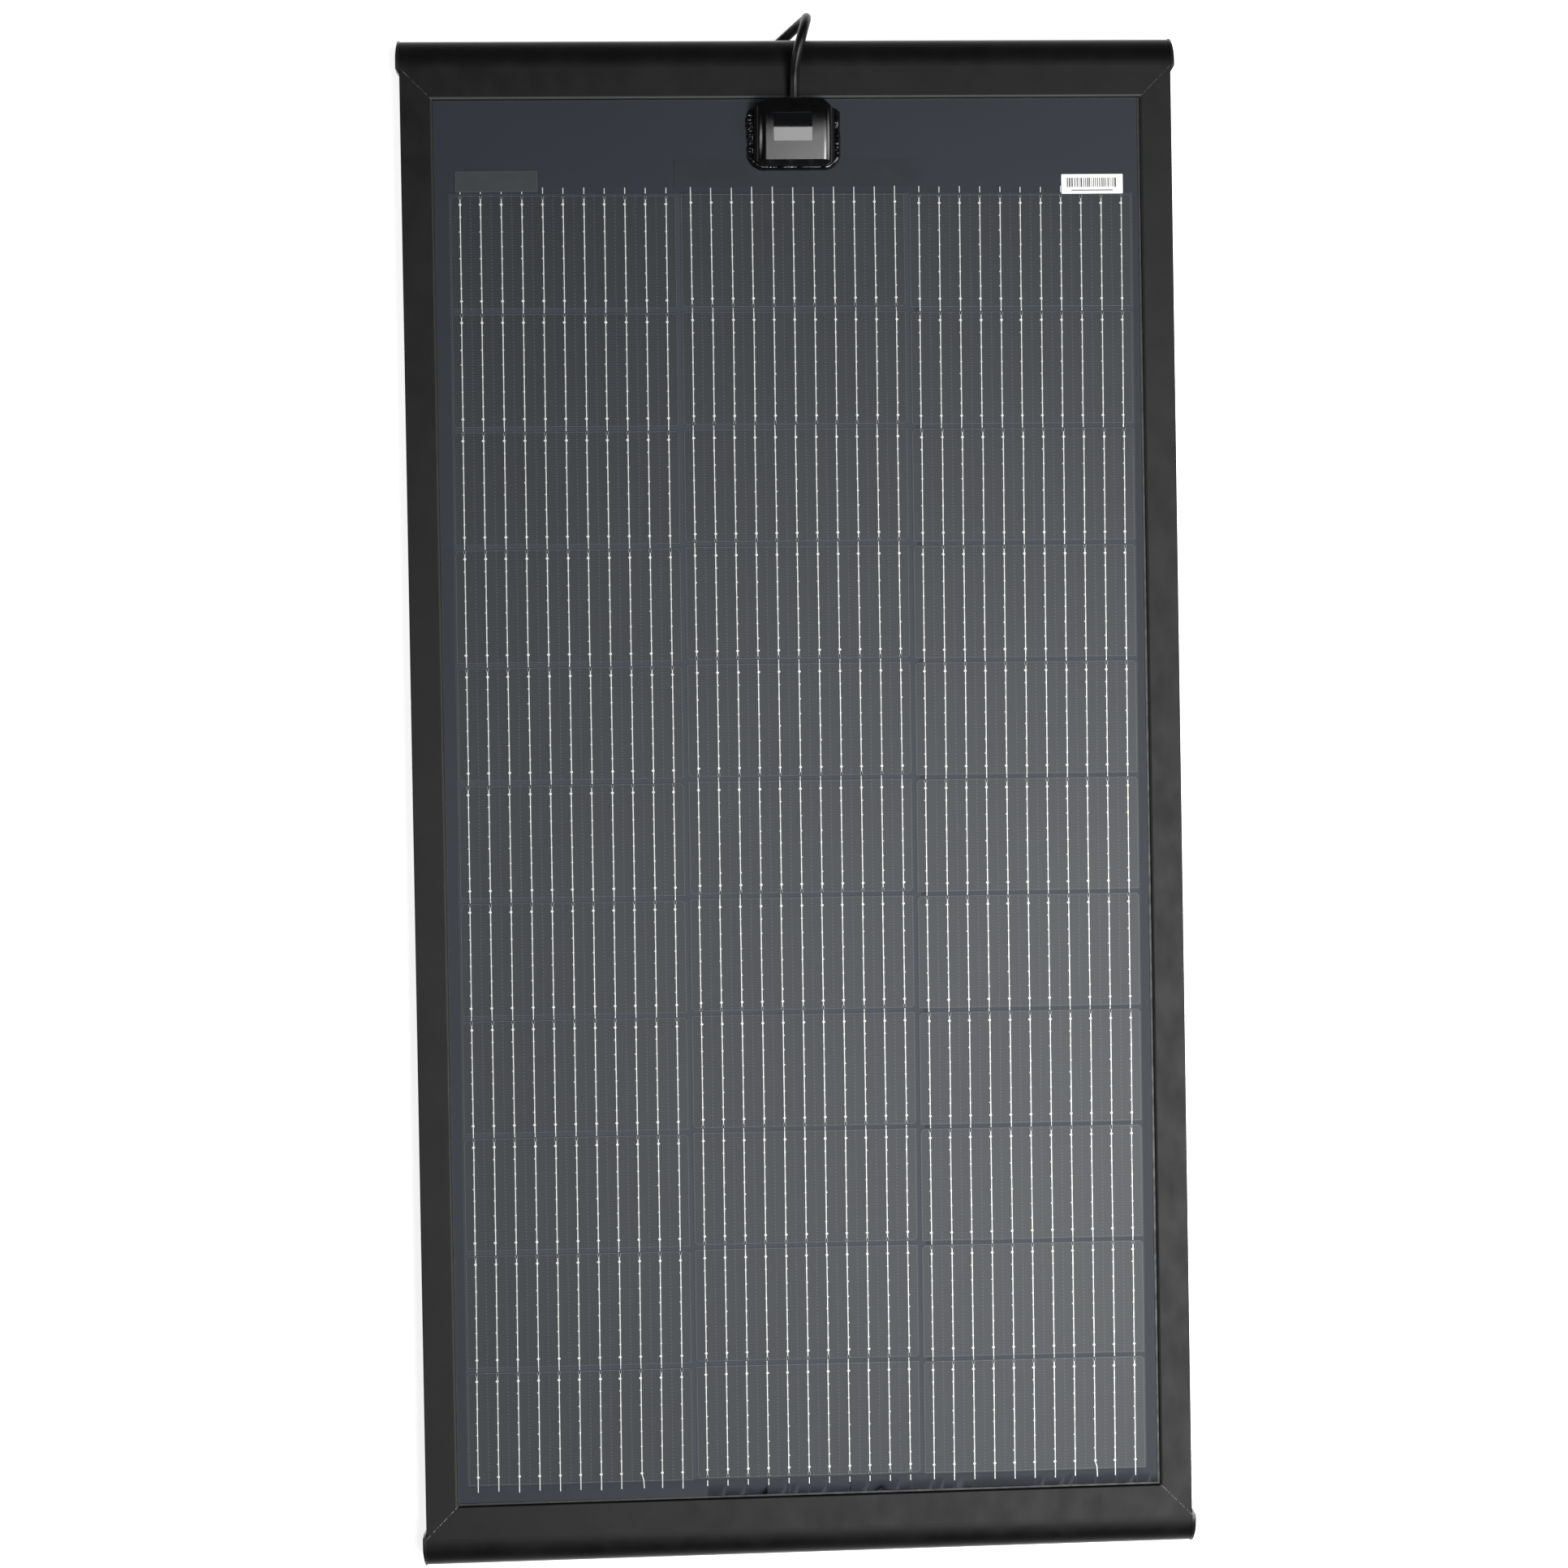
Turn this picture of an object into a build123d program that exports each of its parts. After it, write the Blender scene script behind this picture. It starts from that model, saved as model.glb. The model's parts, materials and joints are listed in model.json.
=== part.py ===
"""Framed flexible solar panel for a vehicle roof, lying flat on its side rails.

The panel's width runs along X, its length along Y with the junction box at the +Y end, and its
sunny face looks along +Z. The origin is the centre of its footprint, on the surface it stands on.
All sizes are in millimetres.
"""

import os
from math import pi, radians, tan

from build123d import *

# Frame
OPENING_WIDTH = 572.0
OPENING_LENGTH = 1131.0
RAIL_FLAT = 26.0
NOSE_REACH = 23.5
FRAME_HEIGHT = 35.0
NOSE_DROP = 16.0
NOSE_UPRIGHT = 1.0
WALL = 1.6
LIP_ROUND = 2.2
EDGE_ROUND = 0.8
LEDGE_REACH = 12.0
LEDGE_TOP = 27.8
LEDGE_THICKNESS = 1.6

# Laminate stack, from the ledge up
SEAT_TAPE = 0.5
BOARD_THICKNESS = 3.0
BOARD_ADHESIVE = 0.3
BACKSHEET = 0.4
ENCAPSULANT = 0.9
FRONT_FILM = 0.3
SHEET_WIDTH = 569.4
SHEET_LENGTH = 1128.6
SHEET_SHIFT = (-0.6, 0.5)
SEALANT_RECESS = 0.8

# Cells
STRINGS = 3
ROWS = 11
CELL_WIDTH = 182.0
CELL_LENGTH = 92.0
CELL_THICKNESS = 0.2
CELL_CHAMFER = 2.4
STRING_GAP = 3.1
STRING_DRIFT = (-0.3, 0.7, 0.0)
ROW_GAP = 2.8
ARRAY_SHIFT = (0.5, -31.0)
ARRAY_TURN = -0.22
WIRES_PER_STRING = 11
WIRE_WIDTH = 1.1
WIRE_THICKNESS = 0.25
WIRE_TAIL = 5.0
BUS_WIDTH = 5.0
BUS_THICKNESS = 0.2
BUS_GAP = 1.0
BUS_INSET = 3.0
BUS_JOG = 4.0
LEAD_X = 12.0
LEAD_ENTRY = 12.0
RETURN_INSET = 85.0
RETURN_THICKNESS = 0.12
COVER_TAPE = (200.0, 21.4)
COVER_TAPE_CENTRE = (7.0, 505.9)
BADGE = (65.7, 16.4)
BADGE_CENTRE = (-236.0, 500.3)
SERIAL_LABEL = (50.3, 15.8)
SERIAL_LABEL_CENTRE = (246.4, 495.7)
LABEL_THICKNESS = 0.12

# Junction box
BOX_CENTRE_X = 4.0
BOX_WIDTH = 66.0
BOX_LOW_Y = 510.5
BOX_HIGH_Y = 564.0
BOX_NECK_WIDTH = 46.0
BOX_NECK_DEPTH = 9.0
BOX_ROUND = 9.0
BOX_HEIGHT = 18.0
BASE_HEIGHT = 5.4
BOX_WALL = 2.0
LID_INSET = 0.8
LID_SHOULDER = 9.0
LID_SEAL = 0.6
LID_CROWN_Y = 551.0
LID_CROWN_RADIUS = 130.0
LID_CROWN_SWEEP = 60.0
BOX_PAD = 0.3
SHOULDER_ROUND = 5.0
NECK_ROUND = 4.0
END_WALL_LEAN = 6.4
TRAY_FLOOR = 1.5
SEAL_WIDTH = 1.1
RIBBON_SLOT = (8.0, 4.0)
RIBBON_SLOT_X = 14.0
RIBBON_SLOT_Y = 14.0
PLATE = (31.3, 22.7)
PLATE_CENTRE = (2.4, 540.4)
PLATE_DEPTH = 0.6
PLATE_SINK = 0.2
BEAD_WIDTH = 5.0
BEAD_HEIGHT = 4.2
BEAD_SLOPE = 2.4
BEAD_TOP_Y = 557.5
BEAD_SHIFT = 2.2

# Cable
CABLE = 8.0
CABLE_EXIT = (4.0, 564.0, 40.3)
RUN_POINTS = [
    (4.0, 549.0, 40.3),
    (4.0, 576.0, 40.3),
    (5.6, 596.0, 51.0),
    (11.4, 616.0, 53.0),
    (16.0, 630.5, 41.0),
    (15.8, 632.5, 17.0),
    (2.0, 622.0, 4.0),
    (-20.0, 602.0, 4.0),
    (-43.0, 574.0, 4.0),
    (-59.0, 541.0, 4.2),
    (-64.0, 505.0, 4.8),
    (-64.4, 474.0, 5.0),
]
COIL_CENTRE = (0.0, 465.0)
COIL_OUTER = 64.0
COIL_INNER = 28.0
COIL_FLOOR = 1.0
COIL_LAYERS = 2
COIL_TURNS = 9
TAIL_POINTS = [
    (-64.2, 458.0, 13.0),
    (-65.0, 438.0, 12.6),
    (-70.0, 408.0, 5.2),
    (-80.0, 378.0, 4.8),
    (-94.0, 354.0, 4.8),
]
TIE_WIDTH = 14.0
TIE_THICKNESS = 0.8
SLEEVE_LENGTH = 24.0
SLEEVE = 9.4
CORE = 3.2
CORE_LENGTH = 34.0
FERRULE = 4.2
FERRULE_LENGTH = 14.0

HALF_X = OPENING_WIDTH / 2
HALF_Y = OPENING_LENGTH / 2
OUTER_X = HALF_X + RAIL_FLAT
MITRE_Y = HALF_Y + RAIL_FLAT
NOSE_Y = MITRE_Y + NOSE_REACH
LIP_Z = FRAME_HEIGHT - NOSE_DROP
BOARD_Z = LEDGE_TOP + SEAT_TAPE
ADHESIVE_Z = BOARD_Z + BOARD_THICKNESS
BACKSHEET_Z = ADHESIVE_Z + BOARD_ADHESIVE
ENCAPSULANT_Z = BACKSHEET_Z + BACKSHEET
FILM_Z = ENCAPSULANT_Z + ENCAPSULANT
SHEET_TOP = FILM_Z + FRONT_FILM
RETURN_Z = ENCAPSULANT_Z + 0.02
CELL_Z = ENCAPSULANT_Z + 0.25
WIRE_Z = CELL_Z + CELL_THICKNESS
PATCH_Z = FILM_Z - LABEL_THICKNESS
BOX_Z = SHEET_TOP + BOX_PAD
BASE_TOP = BOX_Z + BASE_HEIGHT
LID_Z = BASE_TOP + LID_SEAL
LID_TOP = SHEET_TOP + BOX_HEIGHT
FLOOR_Z = BOX_Z + TRAY_FLOOR


def block(low, high):
    """An upright box between two corners."""
    size = [b - a for a, b in zip(low, high)]
    middle = [(a + b) / 2 for a, b in zip(low, high)]
    return Pos(*middle) * Box(*size)


def prism(points, low, high):
    """A straight prism on a plan outline, from one height to another."""
    return Pos(0, 0, low) * extrude(make_face(Polyline(*points, close=True)), high - low)


def sheet_slab(low, high):
    """One layer of the laminate, to its full cut size."""
    return Pos(*SHEET_SHIFT, (low + high) / 2) * Box(SHEET_WIDTH, SHEET_LENGTH, high - low)


def patch(size, centre, low, thickness):
    """A thin flat label or tape."""
    return Pos(*centre, low + thickness / 2) * Box(*size, thickness)


def round_corner(face, spot, radius):
    """Rounds the corner of a flat face that lies nearest to a spot."""
    corner = face.vertices().sort_by_distance(Vector(*spot, 0))[0]
    return fillet(corner, radius)


# ---- Frame ----------------------------------------------------------------------------------


def window(low, high):
    """A rectangle between two corners of a rail's section."""
    size = (high[0] - low[0], high[1] - low[1])
    return Pos((low[0] + high[0]) / 2, (low[1] + high[1]) / 2) * Rectangle(*size)


def ledge_section():
    """The seat that the laminate's board rests on, reaching into the opening."""
    return window((-LEDGE_REACH, LEDGE_TOP - LEDGE_THICKNESS), (WALL, LEDGE_TOP))


def side_section():
    """Section of a side rail: u outward from the opening, then height."""
    body = window((0, 0), (RAIL_FLAT, FRAME_HEIGHT))
    body = round_corner(body, (0, FRAME_HEIGHT), LIP_ROUND)
    body = round_corner(body, (RAIL_FLAT, FRAME_HEIGHT), EDGE_ROUND)
    body = round_corner(body, (RAIL_FLAT, 0), EDGE_ROUND)
    upper = window((WALL, LIP_Z + WALL), (RAIL_FLAT - WALL, FRAME_HEIGHT - WALL))
    upper = round_corner(upper, (WALL, FRAME_HEIGHT - WALL), EDGE_ROUND)
    lower = window((WALL, WALL), (RAIL_FLAT - WALL, LIP_Z))
    return body + ledge_section() - upper - lower


def nose_face(shrink):
    """Quarter ellipse of the spoiler nose, drawn in by a wall."""
    reach = NOSE_REACH - shrink
    low = LIP_Z + shrink
    upright = max(NOSE_UPRIGHT - shrink, 0)
    centre = (RAIL_FLAT, low + upright)
    drop = FRAME_HEIGHT - shrink - centre[1]
    curve = EllipticalCenterArc(centre, reach, drop, start_angle=0, arc_size=90)
    corners = [curve @ 1, (RAIL_FLAT, low)]
    if upright:
        corners.append((RAIL_FLAT + reach, low))
    sides = Polyline(*corners, curve @ 0)
    return make_face([curve, sides])


def end_section():
    """Section of an end rail: the mitred flat box, and the nose beyond it."""
    box = window((0, LIP_Z), (RAIL_FLAT, FRAME_HEIGHT))
    box = round_corner(box, (0, FRAME_HEIGHT), LIP_ROUND)
    upper = window((WALL, LIP_Z + WALL), (RAIL_FLAT - WALL, FRAME_HEIGHT - WALL))
    upper = round_corner(upper, (WALL, FRAME_HEIGHT - WALL), EDGE_ROUND)
    return box + nose_face(0) + ledge_section() - upper - nose_face(WALL)


def corner_wedge():
    """Everything on the side rail's side of the +X +Y mitre, short of the nose."""
    reach = 40.0
    inner = (HALF_X - reach, HALF_Y - reach)
    outer = (OUTER_X, MITRE_Y)
    points = [inner, outer, (OUTER_X + reach, MITRE_Y), (OUTER_X + reach, HALF_Y - reach)]
    return prism(points, -1, FRAME_HEIGHT + 1)


def side_rail():
    """The +X side rail, cut to its mitres."""
    section = Plane((HALF_X, -MITRE_Y, 0), x_dir=(1, 0, 0), z_dir=(0, -1, 0)) * side_section()
    rail = extrude(section, -2 * MITRE_Y)
    reach = 40.0
    keep = [
        (HALF_X - reach, HALF_Y - reach),
        (OUTER_X, MITRE_Y),
        (OUTER_X + 1, MITRE_Y),
        (OUTER_X + 1, -MITRE_Y),
        (OUTER_X, -MITRE_Y),
        (HALF_X - reach, reach - HALF_Y),
    ]
    return rail & prism(keep, -1, FRAME_HEIGHT + 1)


def end_rail():
    """The +Y end rail: flat mitred with the side rails, nose running the full width."""
    section = Plane((-OUTER_X, HALF_Y, 0), x_dir=(0, 1, 0), z_dir=(1, 0, 0)) * end_section()
    rail = extrude(section, 2 * OUTER_X)
    wedge = corner_wedge()
    return rail - wedge - mirror(wedge, about=Plane.YZ)


CAP_LAP = 5.5
CAP_THICKNESS = 3.0
CAP_PROUD = 0.7
CAP_PLUG = 9.0
CAP_CLEARANCE = 0.15


def end_cap():
    """Moulded cap on the nose's +X +Y end, with a lap on the side rail and a plug."""
    face_plane = Plane((OUTER_X, HALF_Y, 0), x_dir=(0, 1, 0), z_dir=(1, 0, 0))
    outline = nose_face(-CAP_PROUD) & window(
        (RAIL_FLAT, LIP_Z), (RAIL_FLAT + NOSE_REACH + CAP_PROUD, FRAME_HEIGHT + CAP_PROUD)
    )
    outline = outline + window((RAIL_FLAT - CAP_LAP, LIP_Z), (RAIL_FLAT, FRAME_HEIGHT))
    shell = extrude(face_plane * outline, CAP_THICKNESS)
    tip = NOSE_Y + CAP_PROUD
    lap_end = Line((OUTER_X, MITRE_Y - CAP_LAP), (OUTER_X + CAP_THICKNESS, MITRE_Y - 0.5))
    dome = ThreePointArc(
        lap_end @ 1,
        (OUTER_X + CAP_THICKNESS - 0.25, MITRE_Y + 0.55 * NOSE_REACH),
        (OUTER_X + 1.2, tip),
    )
    back = Polyline(dome @ 1, (OUTER_X, tip), lap_end @ 0)
    plan = extrude(make_face([lap_end, dome, back]), FRAME_HEIGHT + 5)
    hollow = nose_face(WALL + CAP_CLEARANCE)
    plug = extrude(face_plane * hollow, -CAP_PLUG)
    corner = block((OUTER_X - CAP_PLUG - 1, MITRE_Y - 5, 0), (OUTER_X, MITRE_Y + 1, FRAME_HEIGHT))
    return (shell & plan) + (plug - corner)


KEY_ARM = 45.0
KEY_CLEARANCE = 0.2


def corner_key():
    """Solid angle that joins the upper chambers at the +X +Y mitre."""
    low_x = HALF_X + WALL + KEY_CLEARANCE
    high_x = OUTER_X - WALL - KEY_CLEARANCE
    low_y = HALF_Y + WALL + KEY_CLEARANCE
    high_y = MITRE_Y - WALL - KEY_CLEARANCE
    low_z = LIP_Z + WALL + KEY_CLEARANCE
    high_z = FRAME_HEIGHT - WALL - KEY_CLEARANCE - EDGE_ROUND
    along_end = block((low_x - KEY_ARM, low_y, low_z), (high_x, high_y, high_z))
    along_side = block((low_x, low_y - KEY_ARM, low_z), (high_x, high_y, high_z))
    return along_end + along_side


PLUG_PLATE = 1.8
PLUG_SPIGOT = 12.0


def foot_plug():
    """Closes the side rail's lower chamber where its mitre runs on below the end rail."""
    gap = 0.3
    inner = (HALF_X, HALF_Y)
    outer = (OUTER_X - EDGE_ROUND, MITRE_Y - EDGE_ROUND)
    plate = [inner, outer, (outer[0], outer[1] + PLUG_PLATE), (inner[0], inner[1] + PLUG_PLATE)]
    near = HALF_X + WALL + gap
    far = OUTER_X - WALL - gap
    spigot = [
        (near, near - HALF_X + HALF_Y),
        (far, far - HALF_X + HALF_Y),
        (far, far - HALF_X + HALF_Y - PLUG_SPIGOT),
        (near, near - HALF_X + HALF_Y - PLUG_SPIGOT),
    ]
    return prism(plate, gap, LIP_Z - gap) + prism(spigot, WALL + gap, LIP_Z - gap)


def four_corners(solid):
    """Copies of a +X +Y corner piece at all four corners."""
    across = mirror(solid, about=Plane.YZ)
    return [solid, across, mirror(across, about=Plane.XZ), mirror(solid, about=Plane.XZ)]


def seat_tapes():
    """Foam tape strips between the ledges and the board."""
    inset = 2.0
    width = LEDGE_REACH - 2 * inset
    side_length = SHEET_LENGTH - 2 * LEDGE_REACH
    end_length = SHEET_WIDTH - 2 * inset
    side_x = HALF_X - inset - width / 2
    end_y = HALF_Y - inset - width / 2
    middle = LEDGE_TOP + SEAT_TAPE / 2
    sides = [Pos(s * side_x, 0, middle) * Box(width, side_length, SEAT_TAPE) for s in (-1, 1)]
    ends = [Pos(0, s * end_y, middle) * Box(end_length, width, SEAT_TAPE) for s in (-1, 1)]
    return sides + ends


def edge_sealant():
    """Black sealant round the laminate, a little below its face."""
    top = SHEET_TOP - SEALANT_RECESS
    ring = block((-HALF_X, -HALF_Y, BOARD_Z), (HALF_X, HALF_Y, top))
    return ring - sheet_slab(BOARD_Z - 1, top + 1)


# ---- Laminate -------------------------------------------------------------------------------

ARRAY_WIDTH = STRINGS * CELL_WIDTH + (STRINGS - 1) * STRING_GAP
ARRAY_LENGTH = ROWS * CELL_LENGTH + (ROWS - 1) * ROW_GAP
ARRAY = Pos(*ARRAY_SHIFT, 0) * Rot(0, 0, ARRAY_TURN)
WIRE_PITCH = CELL_WIDTH / WIRES_PER_STRING
# The end of each string's cells that has the clipped corners, +1 towards the box
CLIPPED_END = (1, -1, 1)


def string_x(string):
    """Middle of a cell string across the array."""
    return (string - (STRINGS - 1) / 2) * (CELL_WIDTH + STRING_GAP)


def row_y(row):
    """Middle of a row of cells, counted from the junction box."""
    return ARRAY_LENGTH / 2 - CELL_LENGTH / 2 - row * (CELL_LENGTH + ROW_GAP)


RETURN_X = string_x(STRINGS - 1) - RETURN_INSET


def wire_x(wire):
    """Middle of one cell wire across its string."""
    return (wire - (WIRES_PER_STRING - 1) / 2) * WIRE_PITCH


def string_place(string):
    """Where a string's own middle lies on the sheet."""
    return ARRAY * Pos(string_x(string), STRING_DRIFT[string], 0)


def cell_string(string):
    """The half cells of one string, each with two clipped corners."""
    outline = Rectangle(CELL_WIDTH, CELL_LENGTH)
    end = CLIPPED_END[string]
    clipped = [corner for corner in outline.vertices() if corner.Y * end > 0]
    cell = extrude(chamfer(clipped, CELL_CHAMFER), CELL_THICKNESS)
    return [string_place(string) * Pos(0, row_y(row), CELL_Z) * cell for row in range(ROWS)]


def wire_set(string):
    """The wires along the face of one string, with tails out to the bus bars."""
    wire = Box(WIRE_WIDTH, ARRAY_LENGTH + 2 * WIRE_TAIL, WIRE_THICKNESS)
    middle = WIRE_Z + WIRE_THICKNESS / 2
    return [string_place(string) * Pos(wire_x(wire_index), 0, middle) * wire
            for wire_index in range(WIRES_PER_STRING)]


def cross_ribbon(low_x, high_x, low_y, high_y):
    """One straight stretch of bus ribbon, level with the cells' faces."""
    return block((low_x, low_y, WIRE_Z - BUS_THICKNESS), (high_x, high_y, WIRE_Z))


def solder_pad(x, low_y):
    """Joins the return ribbon to the bus ribbon that crosses above it."""
    half = BUS_WIDTH / 2
    low_z = RETURN_Z + RETURN_THICKNESS
    return block((x - half, low_y, low_z), (x + half, low_y + BUS_WIDTH, WIRE_Z - BUS_THICKNESS))


def bus_bars():
    """Bus ribbons that join the strings in series, and the two leads to the box."""
    low = ARRAY_LENGTH / 2 + BUS_GAP
    high = low + BUS_WIDTH
    jog = high + BUS_JOG
    lead_high = BOX_LOW_Y + LEAD_ENTRY - ARRAY_SHIFT[1]
    half = BUS_WIDTH / 2
    reach = CELL_WIDTH / 2 - BUS_INSET
    left, middle, right = (string_x(string) for string in range(STRINGS))
    left_lead = (
        cross_ribbon(left - reach, left + reach, low, high)
        + cross_ribbon(left + reach - BUS_WIDTH, left + reach, low, jog + BUS_WIDTH)
        + cross_ribbon(left + reach - BUS_WIDTH, half - LEAD_X, jog, jog + BUS_WIDTH)
        + cross_ribbon(-LEAD_X - half, half - LEAD_X, jog, lead_high)
    )
    right_lead = (
        solder_pad(RETURN_X, jog)
        + cross_ribbon(LEAD_X - half, RETURN_X + half, jog, jog + BUS_WIDTH)
        + cross_ribbon(LEAD_X - half, LEAD_X + half, jog, lead_high)
    )
    top_pair = cross_ribbon(middle - reach, right + reach, low, high)
    bottom_pair = cross_ribbon(left - reach, middle + reach, -high, -low)
    bottom_right = cross_ribbon(right - reach, right + reach, -high, -low) + solder_pad(RETURN_X, -high)
    return [ARRAY * piece for piece in (left_lead, right_lead, top_pair, bottom_pair, bottom_right)]


def return_ribbon():
    """Insulated ribbon that brings the last string's end back up behind the cells."""
    low_y = -ARRAY_LENGTH / 2 - BUS_GAP - BUS_WIDTH
    high_y = ARRAY_LENGTH / 2 + BUS_GAP + 2 * BUS_WIDTH + BUS_JOG
    half = BUS_WIDTH / 2
    top = RETURN_Z + RETURN_THICKNESS
    return ARRAY * block((RETURN_X - half, low_y, RETURN_Z), (RETURN_X + half, high_y, top))


def encapsulant(inner_pieces):
    """The clear filling of the laminate, moulded round everything sealed in it."""
    return sheet_slab(ENCAPSULANT_Z, FILM_Z) - inner_pieces


# ---- Junction box ---------------------------------------------------------------------------


def box_outline(inset):
    """Plan outline of the box: a rounded body with a narrower neck towards the rail."""
    half = BOX_WIDTH / 2 - inset
    neck = BOX_NECK_WIDTH / 2 - inset
    low = BOX_LOW_Y + inset
    high = BOX_HIGH_Y - inset
    shoulder = BOX_HIGH_Y - BOX_NECK_DEPTH
    points = [(-half, low), (half, low), (half, shoulder), (neck, high), (-neck, high),
              (-half, shoulder)]
    face = make_face(Polyline(*points, close=True))
    for side in (-1, 1):
        face = round_corner(face, (side * half, low), max(BOX_ROUND - inset, 1.0))
        face = round_corner(face, (side * half, shoulder), SHOULDER_ROUND)
        face = round_corner(face, (side * neck, high), NECK_ROUND)
    return Pos(BOX_CENTRE_X, 0) * face


def lid_body(inset, low, drop):
    """The lid's outer shape, drawn in and lowered: a crowned, round-shouldered bar cut to plan."""
    outline = Pos(0, 0, low) * extrude(box_outline(LID_INSET + inset), BOX_HEIGHT)
    half = BOX_WIDTH / 2 - LID_INSET - inset
    depth = 2 * BOX_HEIGHT
    top = LID_CROWN_RADIUS - drop
    section = Pos(0, top - depth / 2) * Rectangle(2 * half, depth)
    for side in (-1, 1):
        section = round_corner(section, (side * half, top), LID_SHOULDER - inset)
    centre = (BOX_CENTRE_X, LID_CROWN_Y, LID_TOP - LID_CROWN_RADIUS)
    upright = Plane((0, 0, 0), x_dir=(1, 0, 0), z_dir=(0, -1, 0))
    start = Pos(*centre) * Rot(-LID_CROWN_SWEEP / 2, 0, 0) * upright.location * section
    crown = revolve(start, axis=Axis(centre, (1, 0, 0)), revolution_arc=LID_CROWN_SWEEP)
    wall_low = BOX_LOW_Y + inset + LID_INSET
    wall = [
        (wall_low, low),
        (BOX_HIGH_Y + 1, low),
        (BOX_HIGH_Y + 1, LID_TOP),
        (wall_low + END_WALL_LEAN, LID_TOP),
    ]
    side_view = Plane((BOX_CENTRE_X - BOX_WIDTH, 0, 0), x_dir=(0, 1, 0), z_dir=(1, 0, 0))
    profile = side_view * make_face(Polyline(*wall, close=True))
    return outline & crown & extrude(profile, 2 * BOX_WIDTH)


def plate_window(inset, low, high):
    """Plan shape of the lid's sunken plate."""
    face = RectangleRounded(PLATE[0] - 2 * inset, PLATE[1] - 2 * inset, 1.0)
    return Pos(*PLATE_CENTRE, low) * extrude(face, high - low)


GROMMET = 12.0


def grommet_passage(low_z, high_z):
    """Slot in the box wall that the cable's grommet drops into."""
    x, y, z = CABLE_EXIT
    tunnel = Pos(x, y, z) * Rot(90, 0, 0) * Cylinder(GROMMET / 2 + 0.1, 16)
    slot = block((x - GROMMET / 2 - 0.1, y - 8, low_z), (x + GROMMET / 2 + 0.1, y + 8, high_z))
    return tunnel + slot


def box_base():
    """Open tray that the ribbons come up into."""
    outer = Pos(0, 0, BOX_Z) * extrude(box_outline(0), BASE_HEIGHT)
    inner = Pos(0, 0, FLOOR_Z) * extrude(box_outline(LID_INSET + SEAL_WIDTH + 1.1), BASE_HEIGHT)
    slots = [
        Pos(BOX_CENTRE_X + side * RIBBON_SLOT_X, BOX_LOW_Y + RIBBON_SLOT_Y, BOX_Z)
        * Box(*RIBBON_SLOT, 2 * BASE_HEIGHT)
        for side in (-1, 1)
    ]
    return outer - inner - slots - grommet_passage(CABLE_EXIT[2], BASE_TOP + 5)


def box_lid():
    """Shell that snaps down on the tray, with a sunken place for its plate."""
    shell = lid_body(0, LID_Z, 0) - lid_body(BOX_WALL, LID_Z - 1, BOX_WALL)
    skin = plate_window(0, LID_TOP - 6, LID_TOP + 1) - lid_body(0, LID_Z, PLATE_DEPTH)
    return shell - skin - grommet_passage(LID_Z - 2, CABLE_EXIT[2])


def lid_plate():
    """Blank glossy plate let into the lid."""
    window_part = plate_window(0.15, LID_TOP - 6, LID_TOP + 1)
    return window_part & lid_body(0, LID_Z, PLATE_SINK) - lid_body(0, LID_Z, PLATE_DEPTH)


def lid_seal():
    """Flat gasket between tray and lid."""
    hollow = extrude(box_outline(BOX_WALL + SEAL_WIDTH - 0.2), LID_SEAL)
    ring = extrude(box_outline(LID_INSET), LID_SEAL) - hollow
    return Pos(0, 0, BASE_TOP) * ring - grommet_passage(BASE_TOP - 1, LID_Z + 1)


def silicone_bead():
    """Sealant run round the three open sides of the box's foot."""
    outer = Pos(0, BEAD_SHIFT) * extrude(offset(box_outline(0), BEAD_WIDTH), BEAD_HEIGHT)
    inner = extrude(box_outline(0), BEAD_HEIGHT)
    bead = Pos(0, 0, SHEET_TOP) * (outer - inner)
    edge = bead.edges().group_by(Axis.Z)[-1].sort_by(SortBy.LENGTH)[-1]
    bead = chamfer(edge, BEAD_SLOPE)
    return bead - block((-60, BEAD_TOP_Y, SHEET_TOP - 1), (70, NOSE_Y, FRAME_HEIGHT + 10))


TERMINAL_Y = BOX_LOW_Y + 22.0
TERMINAL_X = 14.0
TERMINAL = (10.0, 12.0, 6.0)
TERMINAL_BORE_Z = FLOOR_Z + 3.4
TERMINAL_SCREW = 4.8
SCREW_RISE = 1.2
SLOT_WIDTH = 0.6
SLOT_DEPTH = 0.5
FIT_GAP = 0.05


def slotted_head(diameter, low, height):
    """Cheese head of a slotted screw, from its seat up."""
    slot = Pos(0, 0, low + height) * Box(0.85 * diameter, SLOT_WIDTH, 2 * SLOT_DEPTH)
    return Pos(0, 0, low + height / 2) * Cylinder(diameter / 2, height) - slot


def terminals():
    """Two brass clamps on the tray's floor, one for each core."""
    top = FLOOR_Z + TERMINAL[2]
    bore = Rot(90, 0, 0) * Cylinder(CORE / 2 + FIT_GAP, 7)
    made = []
    for side in (-1, 1):
        place = Pos(BOX_CENTRE_X + side * TERMINAL_X, TERMINAL_Y)
        body = place * Pos(0, 0, FLOOR_Z + TERMINAL[2] / 2) * Box(*TERMINAL)
        hole = place * Pos(0, TERMINAL[1] / 4, TERMINAL_BORE_Z) * bore
        made.append(body - hole + place * slotted_head(TERMINAL_SCREW, top, SCREW_RISE))
    return made


DIODE = (5.2, 9.0)
DIODE_LEAD = 1.2
DIODE_Z = FLOOR_Z + 3.2


def bypass_diode():
    """Axial diode bridging the terminals."""
    span = 2 * TERMINAL_X - TERMINAL[0]
    place = Pos(BOX_CENTRE_X, TERMINAL_Y - 3.5, DIODE_Z) * Rot(0, 90, 0)
    return place * Cylinder(DIODE[0] / 2, DIODE[1]) + place * Cylinder(DIODE_LEAD / 2, span)


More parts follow.
